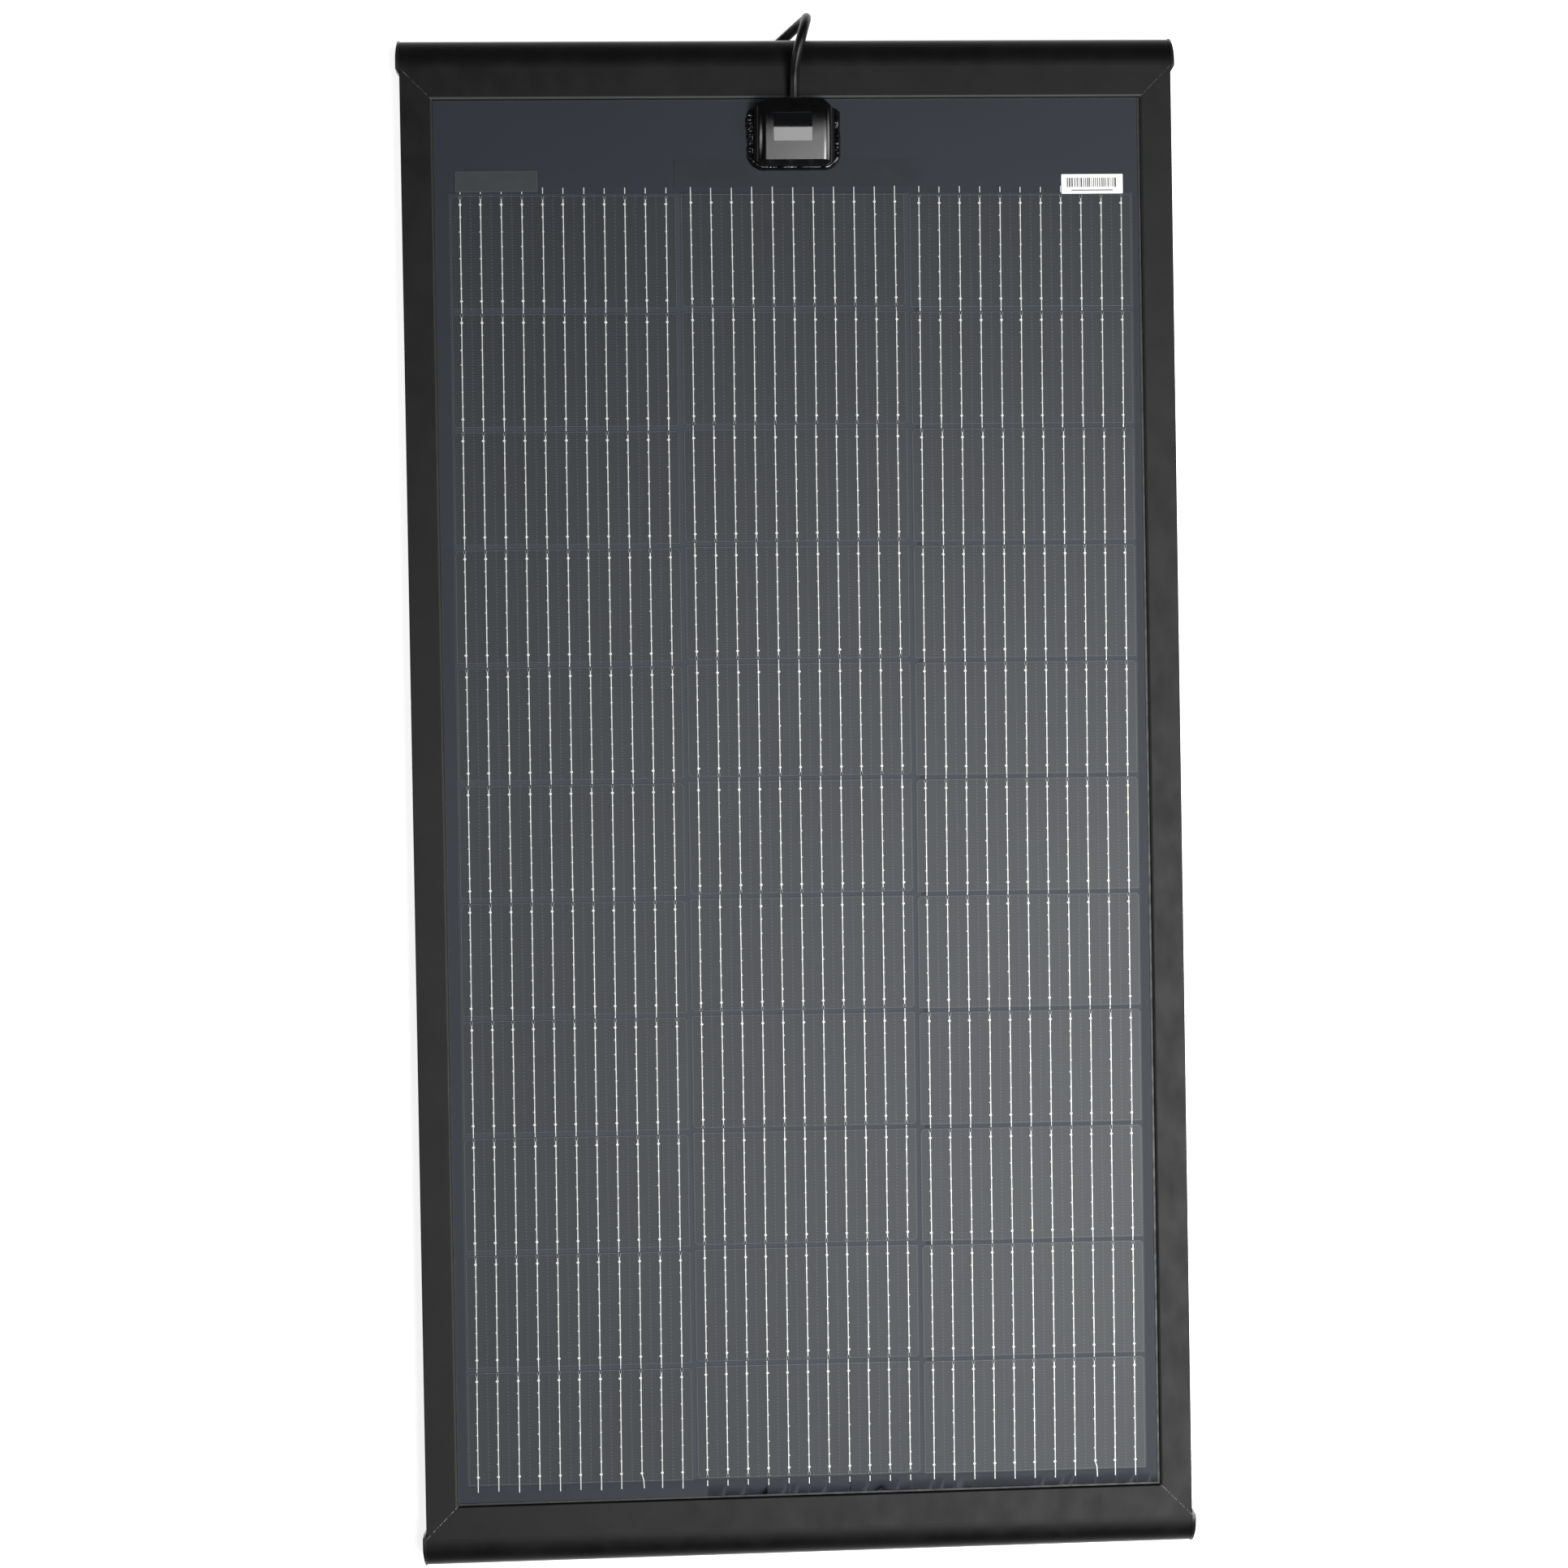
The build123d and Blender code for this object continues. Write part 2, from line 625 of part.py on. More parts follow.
GROMMET_LENGTH = 5.0
GROMMET_PROUD = 1.0


def grommet():
    """Rubber bush in the box wall, standing a little proud of it."""
    x, y, z = CABLE_EXIT
    middle_y = y + GROMMET_PROUD - GROMMET_LENGTH / 2
    bush = Pos(x, middle_y, z) * Rot(90, 0, 0) * Cylinder(GROMMET / 2, GROMMET_LENGTH)
    hole = Pos(x, y, z) * Rot(90, 0, 0) * Cylinder(CABLE / 2 + FIT_GAP, 4 * GROMMET_LENGTH)
    low = FLOOR_Z + 0.1
    return (bush - hole) & block((x - GROMMET, y - GROMMET, low), (x + GROMMET, y + GROMMET, z + GROMMET))


CLAMP_Y = 554.0
CLAMP_HALF = 11.0
CLAMP_DEPTH = 6.0
CLAMP_CROWN = 1.4
CLAMP_FOOT_RISE = 1.0
CLAMP_SCREW_X = 8.2
CLAMP_SCREW = 2.0
CLAMP_HEAD = 4.0
CLAMP_HEAD_RISE = 1.6


def cable_clamp():
    """Saddle that holds the cable to the tray."""
    x, _, z = CABLE_EXIT
    foot = z + CLAMP_FOOT_RISE
    top = z + CABLE / 2 + CLAMP_CROWN
    half_y = CLAMP_DEPTH / 2
    body = block((x - CLAMP_HALF, CLAMP_Y - half_y, FLOOR_Z), (x + CLAMP_HALF, CLAMP_Y + half_y, top))
    for side in (-1, 1):
        screw_x = x + side * CLAMP_SCREW_X
        near = x + side * (CABLE / 2 + 1.9)
        far = x + side * (CLAMP_HALF + 1)
        low_x, high_x = sorted((near, far))
        step = block((low_x, CLAMP_Y - half_y - 1, foot), (high_x, CLAMP_Y + half_y + 1, top + 1))
        bore = Pos(screw_x, CLAMP_Y, z) * Cylinder(CLAMP_SCREW / 2 + FIT_GAP, 4 * CABLE)
        body = body - step - bore
    return body - Pos(x, CLAMP_Y, z) * Rot(90, 0, 0) * Cylinder(CABLE / 2 + FIT_GAP, 2 * CLAMP_DEPTH)


def clamp_screws():
    """The two screws of the saddle."""
    x, _, z = CABLE_EXIT
    low = FLOOR_Z + 0.1
    seat = z + CLAMP_FOOT_RISE
    made = []
    for side in (-1, 1):
        place = Pos(x + side * CLAMP_SCREW_X, CLAMP_Y)
        shank = place * Pos(0, 0, (low + seat) / 2) * Cylinder(CLAMP_SCREW / 2, seat - low)
        made.append(shank + place * slotted_head(CLAMP_HEAD, seat, CLAMP_HEAD_RISE))
    return made


# ---- Cable ----------------------------------------------------------------------------------


def bend_radii(points):
    """The largest arc that each corner's two runs allow, with what it turns."""
    vectors = [Vector(*b) - Vector(*a) for a, b in zip(points, points[1:])]
    found = []
    for before, after in zip(vectors, vectors[1:]):
        half_turn = radians(before.get_angle(after)) / 2
        found.append(0.45 * min(before.length, after.length) / tan(half_turn))
    return found


def tube(name, points, diameter):
    """A round cable along straight runs joined by tangent arcs."""
    bends = bend_radii(points)
    path = FilletPolyline(*points, radius=bends)
    section = Plane(origin=path @ 0, z_dir=path % 0) * Circle(diameter / 2)
    solid = sweep(section, path=path)
    expected = pi * diameter ** 2 / 4 * path.length
    print(name, "length", round(path.length, 1), "radii", [round(r, 1) for r in bends],
          "volume over expected", round(solid.volume / expected, 4))
    return solid, path


def cable_coil():
    """Outer shape of the put-away coil."""
    low_radius = COIL_INNER - CABLE / 2
    high_radius = COIL_OUTER + CABLE / 2
    height = COIL_LAYERS * CABLE
    ring = Cylinder(high_radius, height) - Cylinder(low_radius, height)
    return Pos(*COIL_CENTRE, COIL_FLOOR + height / 2) * ring


def coil_tie():
    """Strap round the coil's right side."""
    hole = COIL_INNER - CABLE / 2
    low_x = COIL_CENTRE[0] + (hole ** 2 - (TIE_WIDTH / 2) ** 2) ** 0.5
    high_x = COIL_CENTRE[0] + COIL_OUTER + CABLE / 2
    top = COIL_FLOOR + COIL_LAYERS * CABLE
    gap = 0.1
    inner = block(
        (low_x - gap, COIL_CENTRE[1] - TIE_WIDTH, COIL_FLOOR - gap),
        (high_x + gap, COIL_CENTRE[1] + TIE_WIDTH, top + gap),
    )
    thick = gap + TIE_THICKNESS
    outer = block(
        (low_x - thick, COIL_CENTRE[1] - TIE_WIDTH / 2, COIL_FLOOR - thick),
        (high_x + thick, COIL_CENTRE[1] + TIE_WIDTH / 2, top + thick),
    )
    long_edges = outer.edges().filter_by(Axis.Y)
    return fillet(long_edges, 2.0) - inner


SLEEVE_LAP = 8.0
SLEEVE_TAPER = 0.9
CORE_SPREAD = 2.1
COLLAR_LENGTH = 6.0
PIN = 2.4


def tail_end():
    """Sleeve, two cores and their ferrules at the cable's far end, along its last run."""
    start = Vector(*TAIL_POINTS[-1])
    heading = (start - Vector(*TAIL_POINTS[-2])).normalized()
    along = Plane(origin=start, z_dir=heading, x_dir=Vector(0, 0, 1).cross(heading))
    cone = Cone(SLEEVE / 2, SLEEVE / 2 - SLEEVE_TAPER, SLEEVE_LENGTH)
    core_start = SLEEVE_LENGTH - SLEEVE_LAP
    tip = core_start + CORE_LENGTH
    bore = Cylinder(CABLE / 2, 2 * SLEEVE_LAP)
    sleeve = along * Pos(0, 0, core_start - SLEEVE_LENGTH / 2) * cone - along * bore
    pin_length = FERRULE_LENGTH - COLLAR_LENGTH
    collar = Pos(0, 0, COLLAR_LENGTH / 2) * Cylinder(FERRULE / 2 - 0.1, COLLAR_LENGTH)
    pin = Pos(0, 0, COLLAR_LENGTH + pin_length / 2) * Cylinder(PIN / 2, pin_length)
    core = Cylinder(CORE / 2, CORE_LENGTH)
    cores = []
    ferrules = []
    for side in (-1, 1):
        cores.append(along * Pos(side * CORE_SPREAD, 0, core_start + CORE_LENGTH / 2) * core)
        ferrules.append(along * Pos(side * CORE_SPREAD, 0, tip) * (collar + pin))
    return sleeve, cores, ferrules


def inner_cores():
    """The cores from the cable's end to the terminals."""
    x, _, z = CABLE_EXIT
    start_y = RUN_POINTS[0][1]
    end_z = TERMINAL_BORE_Z
    end_y = TERMINAL_Y + 5.0
    made = []
    for side in (-1, 1):
        goal = BOX_CENTRE_X + side * TERMINAL_X
        begin = x + side * 2.0
        points = [
            (begin, start_y, z),
            (begin, start_y - 5, z),
            (goal, end_y + 5, end_z),
            (goal, end_y - 3, end_z),
        ]
        solid, _ = tube("inner core", points, CORE)
        made.append(solid)
    return made


# ---- Writing out ----------------------------------------------------------------------------

os.makedirs("parts", exist_ok=True)


def write(name, pieces):
    """Writes one node, a single piece or a group of loose ones."""
    solids = []
    for piece in pieces if isinstance(pieces, (list, tuple)) else [pieces]:
        solids.extend(piece.solids())
    shape = solids[0] if len(solids) == 1 else Compound(children=solids)
    export_step(shape, f"parts/{name}.step")


def main():
    """Makes every piece and writes it."""
    right_rail = side_rail()
    top_rail = end_rail()
    write("side_rail_right", right_rail)
    write("side_rail_left", mirror(right_rail, about=Plane.YZ))
    write("end_rail_top", top_rail)
    write("end_rail_bottom", mirror(top_rail, about=Plane.XZ))
    corners = ("top_right", "top_left", "bottom_left", "bottom_right")
    for corner, cap in zip(corners, four_corners(end_cap())):
        write(f"end_cap_{corner}", cap)
    write("corner_keys", four_corners(corner_key()))
    write("rail_foot_plugs", four_corners(foot_plug()))
    write("seat_tapes", seat_tapes())
    write("edge_sealant", edge_sealant())

    write("backing_board", sheet_slab(BOARD_Z, ADHESIVE_Z))
    write("board_adhesive", sheet_slab(ADHESIVE_Z, BACKSHEET_Z))
    write("backsheet", sheet_slab(BACKSHEET_Z, ENCAPSULANT_Z))
    write("front_film", sheet_slab(FILM_Z, SHEET_TOP))
    sealed = []
    for string, side in enumerate(("left", "middle", "right")):
        cells = cell_string(string)
        wires = wire_set(string)
        write(f"cell_string_{side}", cells)
        write(f"cell_wires_{side}", wires)
        sealed += cells + wires
    buses = bus_bars()
    ribbon = return_ribbon()
    cover_tape = patch(COVER_TAPE, COVER_TAPE_CENTRE, PATCH_Z, LABEL_THICKNESS)
    badge = patch(BADGE, BADGE_CENTRE, PATCH_Z, LABEL_THICKNESS)
    write("bus_bars", buses)
    write("return_ribbon", ribbon)
    write("bus_cover_tape", cover_tape)
    write("badge_patch", badge)
    write("serial_label", patch(SERIAL_LABEL, SERIAL_LABEL_CENTRE, SHEET_TOP, LABEL_THICKNESS))
    write("encapsulant", encapsulant(sealed + buses + [ribbon, cover_tape, badge]))

    write("junction_box_pad", Pos(0, 0, SHEET_TOP) * extrude(box_outline(1.0), BOX_PAD))
    write("junction_box_base", box_base())
    write("junction_box_lid", box_lid())
    write("junction_box_lid_seal", lid_seal())
    write("junction_box_plate", lid_plate())
    write("junction_box_terminals", terminals())
    write("bypass_diode", bypass_diode())
    write("silicone_bead", silicone_bead())
    write("cable_grommet", grommet())
    write("cable_clamp", cable_clamp())
    write("clamp_screws", clamp_screws())
    write("inner_cores", inner_cores())

    run, run_path = tube("cable run", RUN_POINTS, CABLE)
    tail, tail_path = tube("cable tail", TAIL_POINTS, CABLE)
    middle_turn = pi * (COIL_OUTER + COIL_INNER)
    print("cable length about", round(run_path.length + tail_path.length + COIL_TURNS * middle_turn))
    write("cable_run", run)
    write("cable_tail", tail)
    write("cable_coil", cable_coil())
    write("coil_tie", coil_tie())
    sleeve, cores, ferrules = tail_end()
    write("tail_sleeve", sleeve)
    write("tail_core_red", cores[0])
    write("tail_core_black", cores[1])
    write("tail_ferrules", ferrules)


main()
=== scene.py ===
"""Looks of the framed flexible solar panel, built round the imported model. Metres, in the model's frame."""

import json
import math
import random

import bmesh
import bpy
from mathutils import Matrix, Vector, noise


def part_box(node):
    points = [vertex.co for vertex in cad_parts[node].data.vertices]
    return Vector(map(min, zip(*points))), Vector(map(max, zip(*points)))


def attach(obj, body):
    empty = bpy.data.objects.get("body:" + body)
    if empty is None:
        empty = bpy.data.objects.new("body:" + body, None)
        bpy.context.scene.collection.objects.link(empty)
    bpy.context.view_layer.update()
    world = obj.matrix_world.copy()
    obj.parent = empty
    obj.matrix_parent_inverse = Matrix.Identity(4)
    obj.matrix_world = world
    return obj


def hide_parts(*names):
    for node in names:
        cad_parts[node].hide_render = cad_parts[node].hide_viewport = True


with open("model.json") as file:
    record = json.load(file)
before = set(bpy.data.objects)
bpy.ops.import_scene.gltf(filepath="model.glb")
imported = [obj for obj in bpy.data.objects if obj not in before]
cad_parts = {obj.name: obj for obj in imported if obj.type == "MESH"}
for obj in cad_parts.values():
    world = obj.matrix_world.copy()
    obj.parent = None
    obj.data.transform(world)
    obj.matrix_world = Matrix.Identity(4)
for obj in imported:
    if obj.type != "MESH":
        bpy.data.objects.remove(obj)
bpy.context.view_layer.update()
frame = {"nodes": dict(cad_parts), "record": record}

MM = 0.001
SCENE = bpy.context.scene


# ---- Camera ---------------------------------------------------------------------------------

CAMERA_PLACE = (-0.1969, 0.0569, 2.7714)
CAMERA_TARGET = (-0.0128, 0.0126, 0.035)
CAMERA_ROLL = 0.97
CAMERA_LENS = 77.83


def add_camera():
    """Looks down on the panel from a little to its left, hardly rolled."""
    camera = bpy.data.objects.new("camera", bpy.data.cameras.new("camera"))
    SCENE.collection.objects.link(camera)
    camera.data.lens = CAMERA_LENS
    forward = (Vector(CAMERA_TARGET) - Vector(CAMERA_PLACE)).normalized()
    side = forward.cross(Vector((0, 1, 0))).normalized()
    basis = Matrix((side, side.cross(forward), -forward)).transposed()
    turn = Matrix.Rotation(math.radians(CAMERA_ROLL), 3, forward)
    camera.matrix_world = Matrix.Translation(CAMERA_PLACE) @ (turn @ basis).to_4x4()
    SCENE.camera = camera


add_camera()


# ---- Cell array, shared by the materials and the wires --------------------------------------

STRINGS = ("left", "middle", "right")
CLIPPED_END = (1, -1, 1)
ROWS = 11
WIRES = 11
CELL_WIDTH = 182 * MM
CELL_LENGTH = 92 * MM
ROW_PITCH = 94.8 * MM
WIRE_PITCH = CELL_WIDTH / WIRES
ARRAY_TURN = math.radians(-0.22)
ARRAY_CENTRE = sum(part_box("cell_string_middle"), Vector()) / 2
ARRAY_HALF_X = 277 * MM
ARRAY_HALF_Y = 520 * MM


# ---- Materials ------------------------------------------------------------------------------

SEALANT_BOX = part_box("edge_sealant")

# In millimetres: what is drawn on the coating and on the cells' faces
SEAM_WIDTH = 0.42
END_LIP = 1.5
SIDE_LIP = 0.8
CLIP_LEG = 2.4
OUTLINE_INSET = 0.85
FINGER_PITCH = 1.3
FINGER_WIDTH = 0.18
DOT_PITCH = 3.0
DOT_LENGTH = 1.1
DOT_WIDTH = 0.64


def tone(code):
    """Linear colour of a six-figure web colour."""
    parts = [int(code[i:i + 2], 16) / 255 for i in (0, 2, 4)]
    return [c / 12.92 if c <= 0.04045 else ((c + 0.055) / 1.055) ** 2.4 for c in parts] + [1.0]


class Graph:
    """One material's node tree, with short names for the nodes it uses."""

    def __init__(self, name):
        self.material = bpy.data.materials.new(name)
        self.material.use_nodes = True
        self.tree = self.material.node_tree
        self.tree.nodes.clear()
        self.output = self.tree.nodes.new("ShaderNodeOutputMaterial")

    def add(self, kind, inputs=(), **settings):
        """A new node; inputs maps a socket's name or number to a value or another socket."""
        node = self.tree.nodes.new(kind)
        for key, value in settings.items():
            setattr(node, key, value)
        for key, value in dict(inputs).items():
            if isinstance(value, bpy.types.NodeSocket):
                self.tree.links.new(value, node.inputs[key])
            else:
                node.inputs[key].default_value = value
        return node

    def math(self, operation, *values):
        """One arithmetic step."""
        return self.add("ShaderNodeMath", dict(enumerate(values)), operation=operation).outputs[0]

    def place(self, centre=(0, 0, 0), turn=0.0):
        """The surface's own coordinates in millimetres, about a centre and a turned axis."""
        coordinates = self.add("ShaderNodeTexCoord").outputs["Object"]
        mapping = self.add("ShaderNodeMapping", {"Vector": coordinates}, vector_type="TEXTURE")
        mapping.inputs["Location"].default_value = centre
        mapping.inputs["Rotation"].default_value = (0, 0, turn)
        mapping.inputs["Scale"].default_value = (MM, MM, MM)
        return mapping.outputs[0]

    def stretch(self, vector, factors):
        """Coordinates multiplied axis by axis."""
        inputs = {0: vector, 1: factors}
        return self.add("ShaderNodeVectorMath", inputs, operation="MULTIPLY").outputs[0]

    def noise(self, vector, size, detail=2.0):
        """Noise from 0 to 1 with features about size millimetres wide."""
        inputs = {"Vector": vector, "Scale": 1 / size, "Detail": detail}
        return self.add("ShaderNodeTexNoise", inputs).outputs["Fac"]

    def between(self, value, low, high, start=0.0, end=1.0):
        """Value mapped linearly from low..high to start..end, and held there beyond."""
        inputs = {0: value, 1: low, 2: high, 3: start, 4: end}
        return self.add("ShaderNodeMapRange", inputs).outputs[0]

    def mix(self, factor, first, second):
        """Blend of two colours."""
        inputs = {0: factor, 6: first, 7: second}
        return self.add("ShaderNodeMix", inputs, data_type="RGBA").outputs[2]

    def bump(self, height, depth, normal=None):
        """Normal of a relief that is depth millimetres deep."""
        inputs = {"Height": height, "Distance": depth * MM, "Strength": 1.0}
        if normal:
            inputs["Normal"] = normal
        return self.add("ShaderNodeBump", inputs).outputs[0]

    def shade(self, colour, roughness, normal=None, **plain):
        """The principled shader, joined to the output. Plain values go straight on its sockets."""
        inputs = {"Base Color": colour, "Roughness": roughness}
        inputs.update({key.replace("_", " "): value for key, value in plain.items()})
        if normal:
            inputs["Normal"] = normal
        shader = self.add("ShaderNodeBsdfPrincipled", inputs)
        self.tree.links.new(shader.outputs[0], self.output.inputs[0])
        return self.material

    def satin(self, colour, roughness, normal, ior):
        """A body colour under a satin skin whose highlights end softly, joined to the output."""
        body = self.add("ShaderNodeBsdfDiffuse", {"Color": colour, "Normal": normal}).outputs[0]
        gloss = self.add(
            "ShaderNodeBsdfGlossy",
            {"Color": (1, 1, 1, 1), "Roughness": roughness, "Normal": normal},
            distribution="BECKMANN",
        ).outputs[0]
        share = self.add("ShaderNodeFresnel", {"IOR": ior, "Normal": normal}).outputs[0]
        shader = self.add("ShaderNodeMixShader", {0: share, 1: body, 2: gloss})
        self.tree.links.new(shader.outputs[0], self.output.inputs[0])
        return self.material


def moulded(name, dark, light, roughness, grain=0.5, depth=0.012, patch=25.0, **plain):
    """A solid material: soft patches between two close colours, uneven gloss and a fine grain."""
    g = Graph(name)
    place = g.place()
    cloud = g.noise(place, patch, 4.0)
    fine = g.noise(place, grain, 3.0)
    colour = g.mix(g.between(cloud, 0.35, 0.65), tone(dark), tone(light))
    gloss = g.between(g.noise(place, patch / 3, 3.0), 0.3, 0.7, *roughness)
    return g.shade(colour, gloss, g.bump(fine, depth), **plain)


def powder_coat():
    """Matt black powder coat: uncoated specks along the mitred joints that also serve as painted glints, and
    painted highlights as lighter bands along the inner lip edges.
    """
    g = Graph("powder_coat")
    place = g.place()
    parts = g.add("ShaderNodeSeparateXYZ", {0: place}).outputs
    opening = SEALANT_BOX[1] / MM
    across = g.math("SUBTRACT", g.math("ABSOLUTE", parts[0]), opening.x)
    along = g.math("SUBTRACT", g.math("ABSOLUTE", parts[1]), opening.y)
    off_joint = g.math("ABSOLUTE", g.math("SUBTRACT", across, along))
    # Partly painted highlight: uncoated metal at the mitred joints is drawn as light specks that also stand
    # for its glints. The specks fade towards the far end rail (+Y) as painted glint strength.
    seam = g.between(off_joint, 0.0, SEAM_WIDTH, 1.0, 0.0)
    seam = g.math("MULTIPLY", seam, g.between(parts[1], -300.0, 300.0, 1.0, 0.4))
    specks = g.between(g.noise(place, 1.6, 3.0), 0.44, 0.62)
    past_opening = g.math("GREATER_THAN", across, -1.0)
    seam_metal_and_glint = g.math("MULTIPLY", g.math("MULTIPLY", seam, specks), past_opening)
    cloud = g.noise(place, 40.0, 4.0)
    colour = g.mix(g.between(cloud, 0.35, 0.65), tone("0b0b0c"), tone("101010"))
    colour = g.mix(seam_metal_and_glint, colour, tone("a9a79c"))
    # Painted highlight: a light band along each rail's inner lip edge stands for light caught there. It is
    # strong on the far end rail (+Y) only and faint on the side rails.
    off_end_lip = g.math("ABSOLUTE", g.math("SUBTRACT", along, END_LIP))
    end_lip_highlight = g.between(off_end_lip, 0.6, 1.2, 0.8, 0.0)
    end_lip_highlight = g.math("MULTIPLY", end_lip_highlight, g.math("GREATER_THAN", parts[1], 0.0))
    off_side_lip = g.math("ABSOLUTE", g.math("SUBTRACT", across, SIDE_LIP))
    side_lip_highlight = g.between(off_side_lip, 0.3, 0.7, 0.4, 0.0)
    on_end_rail = g.math("GREATER_THAN", g.math("SUBTRACT", along, across), 0.0)
    lip_highlight = g.mix(on_end_rail, side_lip_highlight, end_lip_highlight)
    colour = g.mix(lip_highlight, colour, tone("3c3e3e"))
    peel = g.noise(place, 1.1, 3.0)
    sand = g.noise(place, 0.22, 2.0)
    smudge = g.noise(g.stretch(place, (1, 0.6, 1)), 18.0, 3.0)
    rough = g.between(smudge, 0.35, 0.7, 0.47, 0.54)
    normal = g.bump(sand, 0.008, g.bump(peel, 0.03))
    return g.satin(colour, rough, normal, 1.26)


def box_plastic():
    """Black satin moulding, finely grained."""
    g = Graph("box_plastic")
    place = g.place()
    cloud = g.noise(place, 15.0, 4.0)
    grain = g.noise(place, 0.35, 3.0)
    colour = g.mix(g.between(cloud, 0.35, 0.65), tone("020202"), tone("040405"))
    rough = g.between(g.noise(place, 5.0, 3.0), 0.3, 0.7, 0.21, 0.25)
    return g.satin(colour, rough, g.bump(grain, 0.006), 1.49)


def laminate_film():
    """Clear embossed front film: what lies under it shows, through a soft and faintly blue sheen."""
    g = Graph("laminate_film")
    place = g.place()
    emboss = g.noise(place, 0.5, 2.0)
    ripple = g.noise(place, 14.0, 3.0)
    normal = g.bump(emboss, 0.012, g.bump(ripple, 0.05))
    haze = g.add("ShaderNodeBsdfDiffuse", {"Color": tone("b8bcc4")}).outputs[0]
    clear = g.add("ShaderNodeBsdfTransparent", {"Color": (0.97, 0.97, 0.97, 1)}).outputs[0]
    gloss = g.add(
        "ShaderNodeBsdfGlossy", {"Color": (0.9, 0.97, 1, 1), "Roughness": 0.54, "Normal": normal},
        distribution="BECKMANN",
    ).outputs[0]
    seen = g.add("ShaderNodeMixShader", {0: 0.006, 1: clear, 2: haze}).outputs[0]
    fresnel = g.add("ShaderNodeFresnel", {"IOR": 1.225}).outputs[0]
    shader = g.add("ShaderNodeMixShader", {0: fresnel, 1: seen, 2: gloss})
    g.tree.links.new(shader.outputs[0], g.output.inputs[0])
    return g.material


def silicon(node, clipped_end):
    """Dark cell face with its printed fingers, its outline and the dotted pads between wires."""
    low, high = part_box(node)
    g = Graph("silicon_" + node)
    place = g.place((low + high) / 2, ARRAY_TURN)
    parts = g.add("ShaderNodeSeparateXYZ", {0: place}).outputs
    x = parts[0]
    y = g.math("WRAP", parts[1], ROW_PITCH / MM / 2, -ROW_PITCH / MM / 2)
    to_side = g.math("SUBTRACT", CELL_WIDTH / MM / 2, g.math("ABSOLUTE", x))
    to_end = g.math("SUBTRACT", CELL_LENGTH / MM / 2, g.math("ABSOLUTE", y))
    to_clipped = g.math("SUBTRACT", CELL_LENGTH / MM / 2, g.math("MULTIPLY", y, clipped_end))
    past_clip = g.math("SUBTRACT", g.math("ADD", to_side, to_clipped), CLIP_LEG)
    to_clip = g.math("MULTIPLY", past_clip, math.sqrt(0.5))
    inset = g.math("MINIMUM", g.math("MINIMUM", to_side, to_end), to_clip)
    off_outline = g.math("ABSOLUTE", g.math("SUBTRACT", inset, OUTLINE_INSET))
    outline = g.between(off_outline, 0.12, 0.3, 1.0, 0.0)
    half_wire = WIRE_PITCH / MM / 2
    off_wire = g.math("ABSOLUTE", g.math("WRAP", x, half_wire, -half_wire))
    row_of_dots = g.math("GREATER_THAN", off_wire, half_wire - DOT_WIDTH / 2)
    off_dot = g.math("ABSOLUTE", g.math("WRAP", parts[1], DOT_PITCH / 2, -DOT_PITCH / 2))
    dots = g.math("MULTIPLY", row_of_dots, g.math("LESS_THAN", off_dot, DOT_LENGTH / 2))
    off_finger = g.math("ABSOLUTE", g.math("WRAP", parts[1], FINGER_PITCH / 2, -FINGER_PITCH / 2))
    fingers = g.math("LESS_THAN", off_finger, FINGER_WIDTH / 2)
    fingers = g.math("MULTIPLY", fingers, g.math("GREATER_THAN", inset, OUTLINE_INSET))
    streak = g.noise(g.stretch(place, (1.0, 0.06, 1.0)), 7.0, 2.0)
    blotch = g.noise(place, 90.0, 2.0)
    hue = g.between(g.math("ADD", streak, blotch), 0.85, 1.15)
    colour = g.mix(hue, tone("171a21"), tone("191e22"))
    colour = g.mix(g.math("MULTIPLY", fingers, 0.17), colour, tone("868a90"))
    colour = g.mix(g.math("MULTIPLY", dots, 0.16), colour, tone("9a9ca2"))
    colour = g.mix(g.math("MULTIPLY", outline, 0.16), colour, tone("9a9ca2"))
    facets = g.noise(place, 0.12, 1.0)
    return g.shade(colour, 0.42, g.bump(facets, 0.01), Specular_IOR_Level=0.2)


def backsheet_black():
    """Black back layer seen around the cells, and a little lighter in the gaps between them."""
    g = Graph("backsheet_black")
    place = g.place()
    weave = g.noise(place, 0.8, 2.0)
    cloud = g.noise(place, 120.0, 3.0)
    colour = g.mix(g.between(cloud, 0.3, 0.7), tone("141923"), tone("171c26"))
    parts = g.add("ShaderNodeSeparateXYZ", {0: g.place(ARRAY_CENTRE, ARRAY_TURN)}).outputs
    within_x = g.math("LESS_THAN", g.math("ABSOLUTE", parts[0]), ARRAY_HALF_X / MM)
    within_y = g.math("LESS_THAN", g.math("ABSOLUTE", parts[1]), ARRAY_HALF_Y / MM)
    inside = g.math("MULTIPLY", within_x, within_y)
    colour = g.mix(g.math("MULTIPLY", inside, 0.9), colour, tone("2d323c"))
    return g.shade(colour, 0.6, g.bump(weave, 0.02), Specular_IOR_Level=0.2)


